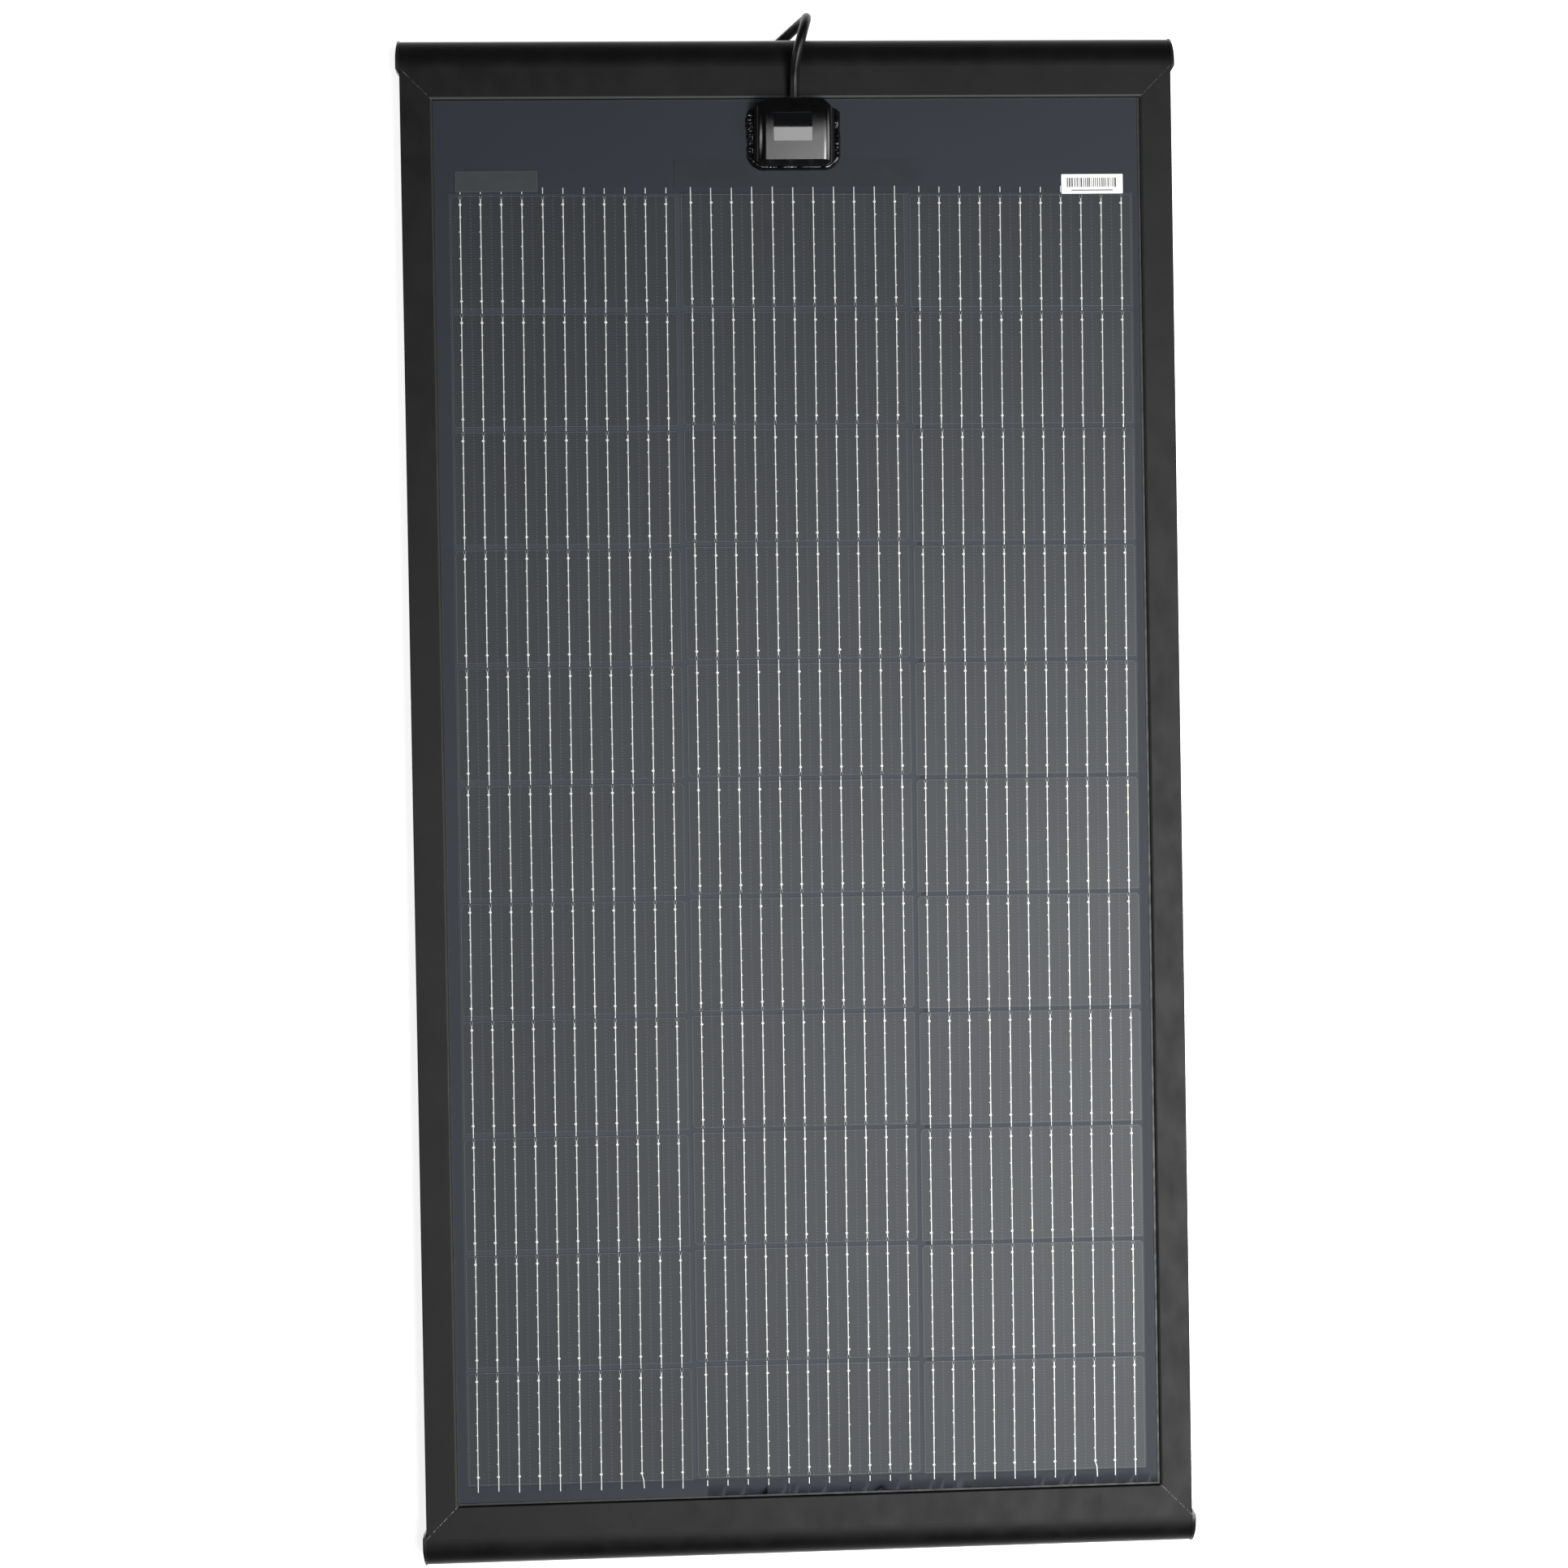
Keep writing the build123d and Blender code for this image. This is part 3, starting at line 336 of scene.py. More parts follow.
def badge_patch():
    """Blank dark patch with a faint lighter line along its cut edge."""
    low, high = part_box("badge_patch")
    g = Graph("badge_patch")
    place = g.place((low + high) / 2)
    parts = g.add("ShaderNodeSeparateXYZ", {0: place}).outputs
    half = (high - low) / 2 / MM
    to_side = g.math("SUBTRACT", half.x, g.math("ABSOLUTE", parts[0]))
    to_end = g.math("SUBTRACT", half.y, g.math("ABSOLUTE", parts[1]))
    edge = g.between(g.math("MINIMUM", to_side, to_end), 0.25, 0.6, 0.35, 0.0)
    cloud = g.noise(place, 12.0, 3.0)
    colour = g.mix(g.between(cloud, 0.35, 0.65), tone("24272b"), tone("282b2e"))
    colour = g.mix(edge, colour, tone("5c6063"))
    grain = g.noise(place, 0.6, 2.0)
    return g.shade(colour, 0.6, g.bump(grain, 0.01), Specular_IOR_Level=0.3)


def tinned():
    """Tinned copper ribbon: pale grey, a little darker where the solder is thin."""
    g = Graph("tinned")
    place = g.place()
    flow = g.noise(g.stretch(place, (1, 0.25, 1)), 1.2, 3.0)
    colour = g.mix(g.between(flow, 0.3, 0.6), tone("c6c8c4"), tone("e0e0db"))
    rough = g.between(flow, 0.3, 0.7, 0.5, 0.35)
    return g.shade(colour, rough, g.bump(flow, 0.02), Metallic=0.15)


def cable_jacket():
    """Black PVC jacket, satin, with faint bands from drawing."""
    g = Graph("cable_jacket")
    place = g.place()
    bands = g.noise(place, 2.5, 2.0)
    dust = g.noise(place, 0.5, 3.0)
    colour = g.mix(g.between(dust, 0.6, 0.72), tone("040405"), tone("141516"))
    rough = g.between(bands, 0.3, 0.7, 0.30, 0.42)
    return g.shade(colour, rough, g.bump(bands, 0.03), Specular_IOR_Level=0.22)


def woven_strap():
    """Black woven strap."""
    g = Graph("woven_strap")
    place = g.place()
    parts = g.add("ShaderNodeSeparateXYZ", {0: place}).outputs
    warp = g.math("SINE", g.math("MULTIPLY", parts[1], 2 * math.pi / 0.9))
    weft = g.math("SINE", g.math("MULTIPLY", g.math("ADD", parts[0], parts[2]), 2 * math.pi / 0.9))
    weave = g.math("MULTIPLY", warp, weft)
    fuzz = g.noise(place, 0.4, 2.0)
    colour = g.mix(g.between(weave, -1.0, 1.0), tone("0c0c0d"), tone("1d1d1f"))
    return g.shade(colour, 0.85, g.bump(weave, 0.12, g.bump(fuzz, 0.05)), Sheen_Weight=0.3)


def board_face():
    """Grey composite board with a faint lengthwise brush."""
    g = Graph("board_face")
    place = g.place()
    brush = g.noise(g.stretch(place, (1, 0.02, 1)), 0.8, 3.0)
    cloud = g.noise(place, 80.0, 3.0)
    colour = g.mix(g.between(cloud, 0.3, 0.7), tone("8d9092"), tone("9a9c9d"))
    return g.shade(colour, g.between(brush, 0.3, 0.7, 0.45, 0.6), g.bump(brush, 0.02))


MATERIALS = {
    "frame_coating": powder_coat(),
    "cap_plastic": moulded("cap_plastic", "0b0c0d", "111213", (0.30, 0.40), 0.6, 0.01),
    "bare_aluminium": moulded("bare_aluminium", "9c9ea0", "b4b5b6", (0.35, 0.5), Metallic=1.0),
    "foam_tape": moulded("foam_tape", "1a1a1a", "242424", (0.85, 0.95), 0.8, 0.15),
    "black_sealant": moulded("black_sealant", "070707", "0d0d0d", (0.45, 0.6), 2.0, 0.05),
    "board_face": board_face(),
    "backsheet_black": backsheet_black(),
    "clear_film": laminate_film(),
    "clear_encapsulant": laminate_film(),
    "tinned_wire": tinned(),
    "coated_ribbon": moulded("coated_ribbon", "161b25", "191e27", (0.6, 0.7), Specular_IOR_Level=0.2),
    "dark_tape": moulded(
        "dark_tape", "1c2027", "20242a", (0.6, 0.7), 1.0, 0.01, Specular_IOR_Level=0.12,
    ),
    "badge_film": badge_patch(),
    "white_label": moulded("white_label", "e6e6e4", "f2f2f0", (0.4, 0.5), 0.3, 0.005),
    "label_ink": moulded("label_ink", "26272a", "303134", (0.5, 0.6), 0.3, 0.003),
    "box_plastic": box_plastic(),
    "seal_rubber": moulded("seal_rubber", "0a0a0a", "111111", (0.6, 0.75), 0.8, 0.03),
    "plate_gloss": moulded(
        "plate_gloss", "030406", "050608", (0.04, 0.06), 4.0, 0.0005, Specular_IOR_Level=0.68,
    ),
    "terminal_brass": moulded("terminal_brass", "b08d4e", "c7a25e", (0.25, 0.4), Metallic=1.0),
    "diode_body": moulded("diode_body", "0d0d0e", "151516", (0.3, 0.4)),
    "glossy_silicone": moulded("glossy_silicone", "020202", "040405", (0.03, 0.07), 2.5, 0.03),
    "screw_steel": moulded("screw_steel", "8f9194", "a9abad", (0.25, 0.4), Metallic=1.0),
    "core_grey": moulded("core_grey", "5a5c5f", "66686b", (0.35, 0.45)),
    "cable_jacket": cable_jacket(),
    "tie_strap": woven_strap(),
    "sleeve_shrink": moulded("sleeve_shrink", "0c0c0d", "141415", (0.5, 0.6), 1.5, 0.04),
    "core_red": moulded("core_red", "8f1411", "a01c17", (0.35, 0.45), 1.0, 0.02),
    "core_black": moulded("core_black", "0d0d0e", "151516", (0.35, 0.45), 1.0, 0.02),
    "ferrule_tin": moulded("ferrule_tin", "b9bbbd", "cfd0d1", (0.25, 0.4), Metallic=1.0),
}


def paint(piece, material):
    """Gives a piece one material."""
    piece.data.materials.clear()
    piece.data.materials.append(material)


def paint_frame():
    """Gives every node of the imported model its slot's material, cells and ribbons their own."""
    nodes = frame["nodes"]
    for part in frame["record"]["subparts"]:
        if part["material_slot"] in MATERIALS:
            paint(nodes[part["node"]], MATERIALS[part["material_slot"]])
    for side, end in zip(STRINGS, CLIPPED_END):
        node = "cell_string_" + side
        paint(nodes[node], silicon(node, end))
    for node in ("return_ribbon", "bus_bars"):
        paint(nodes[node], MATERIALS["coated_ribbon"])


def add_piece(name, data, slot_name, *replaced):
    """A new piece on the panel's body. The record has no slot for the label's ink."""
    piece = bpy.data.objects.new(name, data)
    SCENE.collection.objects.link(piece)
    paint(piece, MATERIALS[slot_name])
    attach(piece, "panel")
    if replaced:
        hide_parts(*replaced)
    return piece


# ---- Cable ----------------------------------------------------------------------------------

CABLE = 8 * MM
RUN_ROUTE = [
    (0.0040, 0.5490, 0.0403),
    (0.0040, 0.5760, 0.0403),
    (0.0056, 0.5960, 0.0510),
    (0.0114, 0.6160, 0.0530),
    (0.0160, 0.6305, 0.0410),
    (0.0158, 0.6325, 0.0170),
    (0.0020, 0.6220, 0.0040),
    (-0.0200, 0.6020, 0.0040),
    (-0.0430, 0.5740, 0.0040),
    (-0.0590, 0.5410, 0.0042),
    (-0.0640, 0.5050, 0.0048),
    (-0.0644, 0.4740, 0.0050),
]
TAIL_ROUTE = [
    (-0.0642, 0.4580, 0.0130),
    (-0.0650, 0.4380, 0.0126),
    (-0.0700, 0.4080, 0.0052),
    (-0.0800, 0.3780, 0.0048),
    (-0.0940, 0.3540, 0.0048),
]
COIL_CENTRE = (0.0, 0.465)
COIL_OUTER = 64 * MM
COIL_INNER = 28 * MM
LAYER_TURNS = 4.5
LAYER_HEIGHTS = (5 * MM, 13 * MM)
POINTS_PER_TURN = 16


def coil_route():
    """Two flat layers of turns, wound inwards and then outwards on top."""
    steps = round(2 * LAYER_TURNS * POINTS_PER_TURN)
    climb = POINTS_PER_TURN // 2
    points = []
    for step in range(1, steps):
        turns = step / POINTS_PER_TURN
        angle = math.pi + 2 * math.pi * turns
        radius = COIL_INNER + abs(turns - LAYER_TURNS) / LAYER_TURNS * (COIL_OUTER - COIL_INNER)
        share = min(max((step - steps / 2) / climb + 0.5, 0), 1)
        height = LAYER_HEIGHTS[0] + share * (LAYER_HEIGHTS[1] - LAYER_HEIGHTS[0])
        x = COIL_CENTRE[0] + radius * math.cos(angle)
        y = COIL_CENTRE[1] + radius * math.sin(angle)
        points.append((x, y, height))
    return points


def add_cable():
    """One smooth line from the box over the end rail, into the coil and out to its tail."""
    route = RUN_ROUTE + coil_route() + TAIL_ROUTE
    curve = bpy.data.curves.new("cable", "CURVE")
    curve.dimensions = "3D"
    curve.bevel_depth = CABLE / 2
    curve.bevel_resolution = 5
    curve.resolution_u = 6
    curve.use_fill_caps = True
    spline = curve.splines.new("NURBS")
    spline.points.add(len(route) - 1)
    for point, place in zip(spline.points, route):
        point.co = (*place, 1)
    spline.order_u = 3
    spline.use_endpoint_u = True
    cable = add_piece("cable", curve, "cable_jacket", "cable_run", "cable_coil", "cable_tail")


paint_frame()
add_cable()


# ---- Laminate -------------------------------------------------------------------------------

CELL_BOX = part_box("cell_string_left")
CELL_TOP = CELL_BOX[1].z
CELL_UNDER = CELL_BOX[0].z
WIRE_WIDTH = 0.8 * MM
WIRE_HIGH = 0.25 * MM
WIRE_CHAMFER = 0.1 * MM
BARE_END = 3.3 * MM
ROW_GAP = ROW_PITCH - CELL_LENGTH
BENT_WIRES = (("left", 8), ("right", 8))
BENT_END = 1.7 * MM
BIG_PADS = (7.5 * MM, 84.9 * MM)
BIG_PAD_HALF = (1.25 * MM, 0.95 * MM)
SMALL_PADS = tuple(distance * MM for distance in (17.5, 29.4, 41.2, 50.8, 63.0, 74.6))
SMALL_PAD_HALF = (0.9 * MM, 0.6 * MM)
PRONG_WIDTH = 0.12 * MM
PRONG_HIGH = 0.03 * MM
RIB_OFFSETS = tuple(offset * MM for offset in (-1.3, -0.45, 0.45, 1.3))
GAP_OFFSETS = tuple(offset * MM for offset in (-1.6, -0.6, 0.6, 1.6))
FILM_COLUMN = 8 * MM
FILM_ROW = 14 * MM
WIRE_RISE = 0.05 * MM
GAP_DIP = 0.04 * MM
FILM_WAVE = 0.03 * MM


def string_frame(side):
    """Matrix from a string's own middle and turned axes to the panel."""
    low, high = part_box("cell_string_" + side)
    middle = (low + high) / 2
    return Matrix.Translation((middle.x, middle.y, 0)) @ Matrix.Rotation(ARRAY_TURN, 4, "Z")


def add_box_strip(mesh, stations, place):
    """A flat ribbon through stations of (along, across, width, underside, topside)."""
    rings = []
    for along, across, width, under, top in stations:
        corners = [
            (across - width / 2, along, under), (across + width / 2, along, under),
            (across + width / 2 - WIRE_CHAMFER, along, top),
            (across - width / 2 + WIRE_CHAMFER, along, top),
        ]
        rings.append([mesh.verts.new(place @ Vector(corner)) for corner in corners])
    for ring, following in zip(rings, rings[1:]):
        for i in range(4):
            j = (i + 1) % 4
            mesh.faces.new((ring[i], ring[j], following[j], following[i]))
    mesh.faces.new(rings[0][::-1])
    mesh.faces.new(rings[-1])


def add_pad(mesh, x, y, half_x, half_y, place):
    """One flat solder pad with eight sides."""
    rings = []
    for height, shrink in ((CELL_TOP + 0.01 * MM, 1.0), (CELL_TOP + 0.09 * MM, 0.8)):
        ring = []
        for i in range(8):
            angle = math.pi / 8 + i * math.pi / 4
            across = x + shrink * half_x * math.cos(angle)
            along = y + shrink * half_y * math.sin(angle)
            ring.append(mesh.verts.new(place @ Vector((across, along, height))))
        rings.append(ring)
    for i in range(8):
        j = (i + 1) % 8
        mesh.faces.new((rings[0][i], rings[0][j], rings[1][j], rings[1][i]))
    mesh.faces.new(rings[1])
    mesh.faces.new(rings[0][::-1])


def finished(mesh, name):
    """The built mesh as mesh data, with its faces looking outwards."""
    bmesh.ops.recalc_face_normals(mesh, faces=mesh.faces)
    data = bpy.data.meshes.new(name)
    mesh.to_mesh(data)
    mesh.free()
    return data


def add_string_wires(side, end, rng):
    """Wires on each cell of a string: from a fork near the clipped end, over the other edge."""
    wires = bmesh.new()
    contacts = bmesh.new()
    base = string_frame(side)
    flip = Matrix.Rotation(math.pi if end < 0 else 0.0, 4, "Z")
    bottom = CELL_TOP + 0.02 * MM
    top = CELL_TOP + WIRE_HIGH
    for row in range(ROWS):
        middle = ((ROWS - 1) / 2 - row) * ROW_PITCH
        drift = rng.uniform(-0.3, 0.3) * MM
        lean = rng.uniform(-0.003, 0.003)
        place = base @ Matrix.Translation((drift, middle, 0)) @ Matrix.Rotation(lean, 4, "Z") @ flip
        first = row == (0 if end > 0 else ROWS - 1)
        last = row == (ROWS - 1 if end > 0 else 0)
        for index in range(WIRES):
            x = (index - (WIRES - 1) / 2) * WIRE_PITCH + rng.uniform(-0.12, 0.12) * MM
            start = CELL_LENGTH / 2 - BARE_END + rng.uniform(-0.5, 0.3) * MM
            edge = -CELL_LENGTH / 2
            stations = [
                (start, x, WIRE_WIDTH * 0.8, bottom, top),
                (start - 1 * MM, x, WIRE_WIDTH, bottom, top),
                (edge + 0.5 * MM, x, WIRE_WIDTH, bottom, top),
            ]
            if last:
                reach = rng.uniform(4.6, 6.2) * MM
                bend = BENT_END if (side, index) in BENT_WIRES else 0.0
                stations.insert(2, (edge + 6 * MM, x, WIRE_WIDTH, bottom, top))
                stations[3] = (edge + 2 * MM, x + 0.7 * bend, WIRE_WIDTH, bottom, top)
                stations.append((edge - reach, x + bend, WIRE_WIDTH, bottom, top))
            else:
                sunk = CELL_UNDER - WIRE_HIGH
                shift = x + rng.uniform(-0.15, 0.15) * MM
                stations += [
                    (edge - 0.5 * MM, shift, 0.6 * WIRE_WIDTH, bottom - 0.1 * MM, top - 0.1 * MM),
                    (edge - 1.0 * MM, shift, WIRE_WIDTH, bottom - 0.15 * MM, top - 0.1 * MM),
                    (edge - 2.0 * MM, shift, WIRE_WIDTH, bottom - 0.3 * MM, top - 0.3 * MM),
                    (edge - ROW_GAP - 3 * MM, shift, WIRE_WIDTH, sunk, CELL_UNDER - 0.01 * MM),
                ]
            add_box_strip(wires, stations, place)
            if first:
                tail = rng.uniform(4.2, 5.2) * MM
                near = CELL_LENGTH / 2 + rng.uniform(0.7, 1.3) * MM
                low = CELL_UNDER
                ends = [(near, x, WIRE_WIDTH, low, top), (near + tail, x, WIRE_WIDTH, low, top)]
                add_box_strip(wires, ends, place)
            for distance in BIG_PADS:
                across = x + rng.uniform(-0.35, 0.1) * MM
                add_pad(contacts, across, CELL_LENGTH / 2 - distance, *BIG_PAD_HALF, place)
            for distance in SMALL_PADS:
                across = x + rng.uniform(-0.45, 0.15) * MM
                add_pad(contacts, across, CELL_LENGTH / 2 - distance, *SMALL_PAD_HALF, place)
            level = (PRONG_WIDTH, bottom, bottom + PRONG_HIGH)
            for prong in (-1, 1):
                stations = [
                    (CELL_LENGTH / 2 - 0.9 * MM, x + prong * 0.85 * MM, *level),
                    (start - 0.5 * MM, x + prong * 0.6 * MM, *level),
                ]
                add_box_strip(contacts, stations, place)
    add_piece("wires_" + side, finished(wires, "wires_" + side), "tinned_wire", "cell_wires_" + side)
    add_piece("cell_contacts_" + side, finished(contacts, "cell_contacts_" + side), "tinned_wire")


def film_lines(reach, stops, step):
    """Grid lines from -reach to reach through every stop, no further apart than a step."""
    fixed = sorted({-reach, reach, *(stop for stop in stops if abs(stop) < reach - 1 * MM)})
    lines = [fixed[0]]
    for low, high in zip(fixed, fixed[1:]):
        count = max(1, math.ceil((high - low) / step))
        lines += [low + (high - low) * i / count for i in range(1, count + 1)]
    return lines


def add_film():
    """The front film and the filling under it as one clear body, its face raised over the wires."""
    low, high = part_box("front_film")
    bottom = (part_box("backsheet")[0].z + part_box("backsheet")[1].z) / 2
    frames = [string_frame(side) for side in STRINGS]
    origin = frames[1].translation
    turn = Matrix.Rotation(ARRAY_TURN, 2)
    half_x = (high.x - low.x) / 2
    half_y = (high.y - low.y) / 2
    string_pitch = (frames[2].translation - frames[0].translation).length / 2
    wire_lines = [
        (string - 1) * string_pitch + (index - (WIRES - 1) / 2) * WIRE_PITCH
        for string in range(3) for index in range(WIRES)
    ]
    gaps = [(row - ROWS / 2) * ROW_PITCH for row in range(ROWS + 1)]
    ribs = {line + offset for line in wire_lines for offset in RIB_OFFSETS}
    edges = {gap + offset for gap in gaps for offset in GAP_OFFSETS}
    columns = film_lines(half_x + 2 * MM, ribs, FILM_COLUMN)
    rows = film_lines(half_y + 2 * MM, edges, FILM_ROW)
    mesh = bmesh.new()
    grid = []
    for j, v in enumerate(rows):
        line = []
        in_gap = min(abs(v - gap) for gap in gaps) < 1 * MM
        on_array = abs(v) < ROWS / 2 * ROW_PITCH
        for i, u in enumerate(columns):
            spot = turn @ Vector((u, v)) + origin.xy
            x = min(max(spot.x, low.x), high.x) if 0 < i < len(columns) - 1 else (low.x, high.x)[i > 0]
            y = min(max(spot.y, low.y), high.y) if 0 < j < len(rows) - 1 else (low.y, high.y)[j > 0]
            over_wire = on_array and min(abs(u - wire) for wire in wire_lines) < 0.6 * MM
            rise = WIRE_RISE * over_wire - GAP_DIP * in_gap
            rise += FILM_WAVE * noise.noise(Vector((x, y, 0)) * 30)
            line.append(mesh.verts.new((x, y, high.z + rise)))
        grid.append(line)
    for below, above in zip(grid, grid[1:]):
        for i in range(len(below) - 1):
            mesh.faces.new((below[i], below[i + 1], above[i + 1], above[i])).smooth = True
    rim = grid[0] + [line[-1] for line in grid[1:-1]]
    rim += grid[-1][::-1] + [line[0] for line in grid[-2:0:-1]]
    foot = [mesh.verts.new((vert.co.x, vert.co.y, bottom)) for vert in rim]
    for i in range(len(rim)):
        j = (i + 1) % len(rim)
        mesh.faces.new((rim[j], rim[i], foot[i], foot[j]))
    mesh.faces.new(foot[::-1])
    for i in range(len(rim)):
        mesh.edges.get((rim[i], rim[(i + 1) % len(rim)])).smooth = False
    add_piece("laminate_film", finished(mesh, "laminate_film"), "clear_film", "front_film", "encapsulant")


rng = random.Random(11)
for side, end in zip(STRINGS, CLIPPED_END):
    add_string_wires(side, end, rng)
add_film()


# ---- Label and sealant ----------------------------------------------------------------------

LABEL_ROUND = 0.7 * MM
PRINT_HIGH = 0.02 * MM
BAR_LENGTH = 7.5 * MM
LINE_SIZE = (34 * MM, 0.8 * MM)
BEAD_WIDTH = 5.0 * MM
BEAD_FOOT_WIDTH = 2.8 * MM
BOX_ROUND = 9.0 * MM
BEAD_STEPS = 66
CORNER_STEPS = 22
BEAD_SIDES = 9
DABBED_SHARE = 0.42


def rounded_outline(centre, size, radius, steps=6):
    """Corner points of a rounded rectangle, anticlockwise."""
    points = []
    for quarter, (sx, sy) in enumerate(((1, 1), (-1, 1), (-1, -1), (1, -1))):
        x = centre[0] + sx * (size[0] / 2 - radius)
        y = centre[1] + sy * (size[1] / 2 - radius)
        for i in range(steps + 1):
            angle = math.pi / 2 * (quarter + i / steps)
            points.append((x + radius * math.cos(angle), y + radius * math.sin(angle)))
    return points


def add_slab(mesh, outline, low, high):
    """A flat slab on an outline."""
    foot = [mesh.verts.new((x, y, low)) for x, y in outline]
    face = [mesh.verts.new((x, y, high)) for x, y in outline]
    mesh.faces.new(foot[::-1])
    mesh.faces.new(face)
    for i in range(len(outline)):
        j = (i + 1) % len(outline)
        mesh.faces.new((foot[i], foot[j], face[j], face[i]))


def add_label():
    """The serial label with rounded corners, and plain bars where its print would be."""
    low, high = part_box("serial_label")
    centre = ((low + high) / 2).xy
    size = (high - low).xy
    label = bmesh.new()
    add_slab(label, rounded_outline(centre, size, LABEL_ROUND), low.z, high.z)
    add_piece("serial_label_cut", finished(label, "serial_label_cut"), "white_label", "serial_label")
    bars = bmesh.new()
    foot = high.z + 0.005 * MM
    left = low.x + 4.5 * MM
    while left < high.x - 5.5 * MM:
        width = rng.uniform(0.4, 1.3) * MM
        spot = (left + width / 2, centre.y + 0.08 * size.y)
        outline = rounded_outline(spot, (width, BAR_LENGTH), 0.1 * MM, 1)
        add_slab(bars, outline, foot, foot + PRINT_HIGH)
        left += width + rng.uniform(0.5, 1.3) * MM
    spot = (centre.x, centre.y - 0.32 * size.y)
    add_slab(bars, rounded_outline(spot, LINE_SIZE, 0.2 * MM, 2), foot, foot + PRINT_HIGH)
    add_piece("label_bars", finished(bars, "label_bars"), "label_ink")


def corner_stops(centre, start):
    """A quarter turn of the box's foot about a centre, from a start angle."""
    stops = []
    for i in range(CORNER_STEPS):
        angle = start + math.pi / 2 * i / CORNER_STEPS
        out = (math.cos(angle), math.sin(angle))
        stops.append(((centre[0] + BOX_ROUND * out[0], centre[1] + BOX_ROUND * out[1]), out))
    return stops


def bead_route(low, high):
    """Wall points and outward directions round the box's foot, from its left side to its right."""
    left = low.x + BEAD_WIDTH
    right = high.x - BEAD_WIDTH
    foot = low.y + BEAD_FOOT_WIDTH
    bend = foot + BOX_ROUND
    from_left = left + BOX_ROUND
    from_right = right - BOX_ROUND
    shares = [i / BEAD_STEPS for i in range(BEAD_STEPS)]
    stops = [((left, high.y + (bend - high.y) * share), (-1, 0)) for share in shares]
    stops += corner_stops((from_left, bend), math.pi)
    stops += [((from_left + (from_right - from_left) * share, foot), (0, -1)) for share in shares]
    stops += corner_stops((from_right, bend), 1.5 * math.pi)
    stops += [((right, bend + (high.y - bend) * share), (1, 0)) for share in shares + [1.0]]
    return stops


def add_bead():
    """The sealant round the box: lumpy where it was dabbed on the left, smooth on the right."""
    low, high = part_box("silicone_bead")
    stops = bead_route(low, high)
    mesh = bmesh.new()
    rings = []
    for index, (spot, out) in enumerate(stops):
        share = index / (len(stops) - 1)
        rough = max(0.0, 1 - share / DABBED_SHARE)
        close = min(index, len(stops) - 1 - index)
        ease = math.sqrt(min(1.0, (close + 0.5) / 6))
        foot_share = abs(out[1])
        width = BEAD_WIDTH + foot_share * (BEAD_FOOT_WIDTH - BEAD_WIDTH)
        lump = noise.noise(Vector((spot[0] * 330, spot[1] * 330, 1.0)))
        wave = noise.noise(Vector((spot[0] * 110, spot[1] * 110, 4.0)))
        width *= 0.95 + 0.10 * wave + 0.28 * rough * lump
        height = (high.z - low.z) * (0.95 + 0.12 * wave + 0.35 * rough * lump)
        ring = []
        for i in range(BEAD_SIDES + 1):
            angle = math.pi / 2 * i / BEAD_SIDES
            rib = noise.noise(Vector((spot[0] * 700, spot[1] * 700, 3 + 2.5 * i / BEAD_SIDES)))
            reach = ease * (1 + (0.05 + 0.22 * rough) * rib)
            side = width * reach * math.cos(angle)
            rise = height * reach * math.sin(angle)
            x, y = spot[0] + out[0] * side, spot[1] + out[1] * side
            ring.append(mesh.verts.new((x, y, low.z + max(rise, 0))))
        ring.append(mesh.verts.new((*spot, low.z)))
        rings.append(ring)
    count = len(rings[0])
    for ring, following in zip(rings, rings[1:]):
        for i in range(count):
            j = (i + 1) % count
            mesh.faces.new((ring[i], ring[j], following[j], following[i])).smooth = i < count - 2
    mesh.faces.new(rings[0][::-1])
    mesh.faces.new(rings[-1])
    add_piece("bead_dabbed", finished(mesh, "bead_dabbed"), "glossy_silicone", "silicone_bead")


add_label()
add_bead()


# ---- Lights and floor -----------------------------------------------------------------------

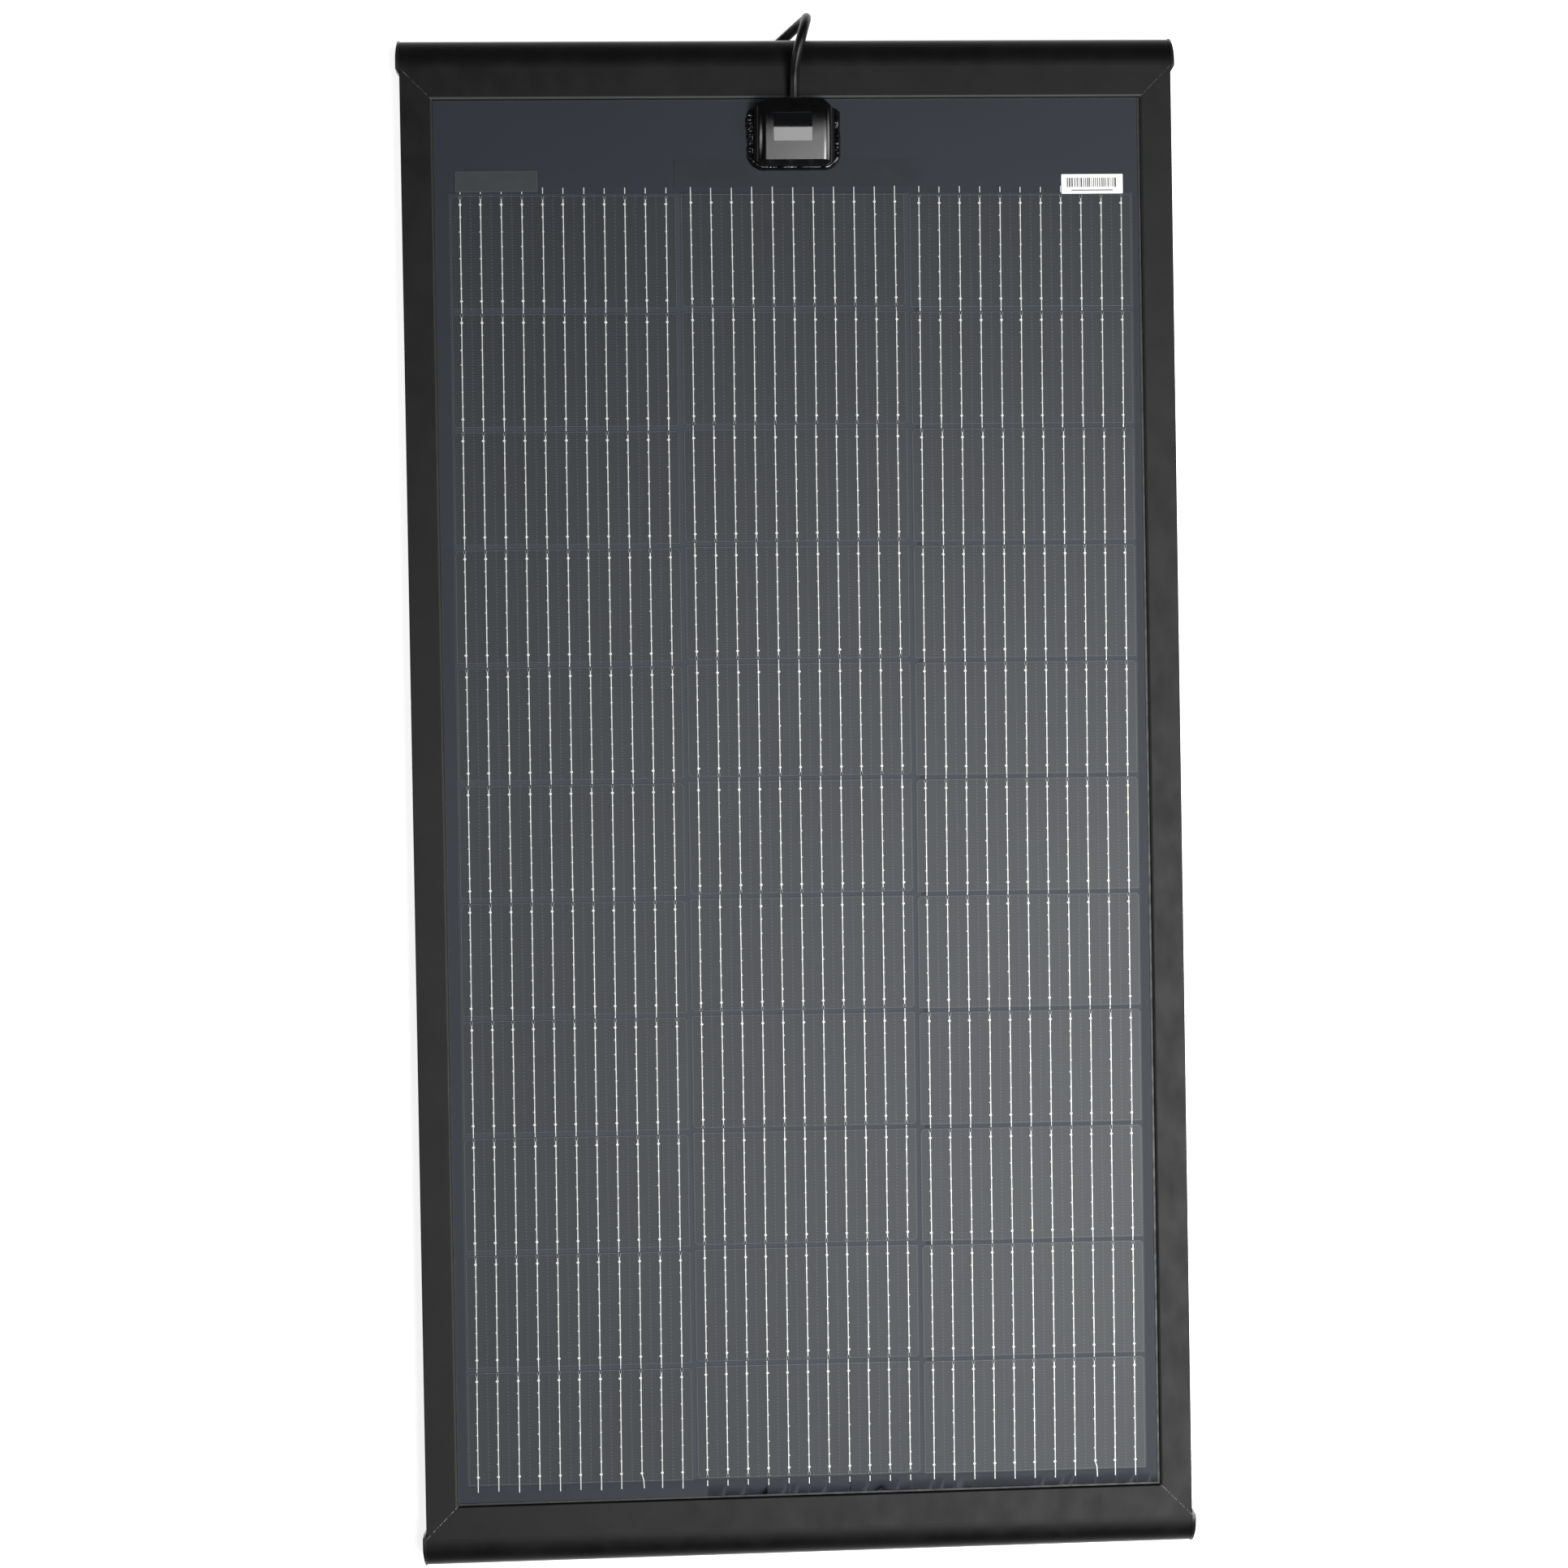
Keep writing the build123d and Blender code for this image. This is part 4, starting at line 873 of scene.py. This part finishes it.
# Name, place, point it faces, size, radiance
LIGHTS = (
    ("softbox", (0.95, -0.52, 3.0), (0.95, -0.52, 0.0), (1.6, 2.15), 6.4),
    ("key", (1.1, -0.75, 2.95), (1.1, -0.75, 0.0), (0.7, 1.3), 24.0),
    ("left_strip", (-1.6, 0.4, 1.2), (0.0, 0.5, 0.0), (0.12, 0.8), 18.0),
)
FLOOR_REACH = 6.0
FLOOR_GLOW = 0.75
WORLD_STRENGTH = 0.07


def add_light(name, place, target, size, radiance):
    """A soft rectangular light of an even brightness, facing a point."""
    data = bpy.data.lights.new(name, "AREA")
    data.shape = "RECTANGLE"
    data.size, data.size_y = size
    data.energy = radiance * math.pi * size[0] * size[1]
    light = bpy.data.objects.new(name, data)
    SCENE.collection.objects.link(light)
    light.location = place
    light.rotation_euler = (Vector(target) - Vector(place)).to_track_quat("-Z", "Y").to_euler()


def add_low_side():
    """A broad, weak light from low on the right."""
    data = bpy.data.lights.new("low_side", "SUN")
    data.energy = 0.9
    data.angle = math.radians(25)
    light = bpy.data.objects.new("low_side", data)
    SCENE.collection.objects.link(light)
    light.rotation_euler = Vector((-1.0, 0.15, -0.75)).to_track_quat("-Z", "Y").to_euler()


def add_studio():
    """Pale, faintly glowing floor in dim surroundings, with every light."""
    mesh = bmesh.new()
    bmesh.ops.create_grid(mesh, x_segments=1, y_segments=1, size=FLOOR_REACH)
    floor = bpy.data.objects.new("floor", finished(mesh, "floor"))
    SCENE.collection.objects.link(floor)
    paper = moulded(
        "floor_paper", "fafaf9", "fcfcfb", (0.85, 0.95), 1.0, 0.01, 300.0,
        Emission_Color=(1, 1, 1, 1), Emission_Strength=FLOOR_GLOW,
    )
    paint(floor, paper)
    world = bpy.data.worlds.new("studio")
    world.use_nodes = True
    background = world.node_tree.nodes["Background"].inputs
    background["Color"].default_value = (1, 1, 1, 1)
    background["Strength"].default_value = WORLD_STRENGTH
    SCENE.world = world
    for light in LIGHTS:
        add_light(*light)
    add_low_side()
    SCENE.view_settings.view_transform = "Standard"


add_studio()
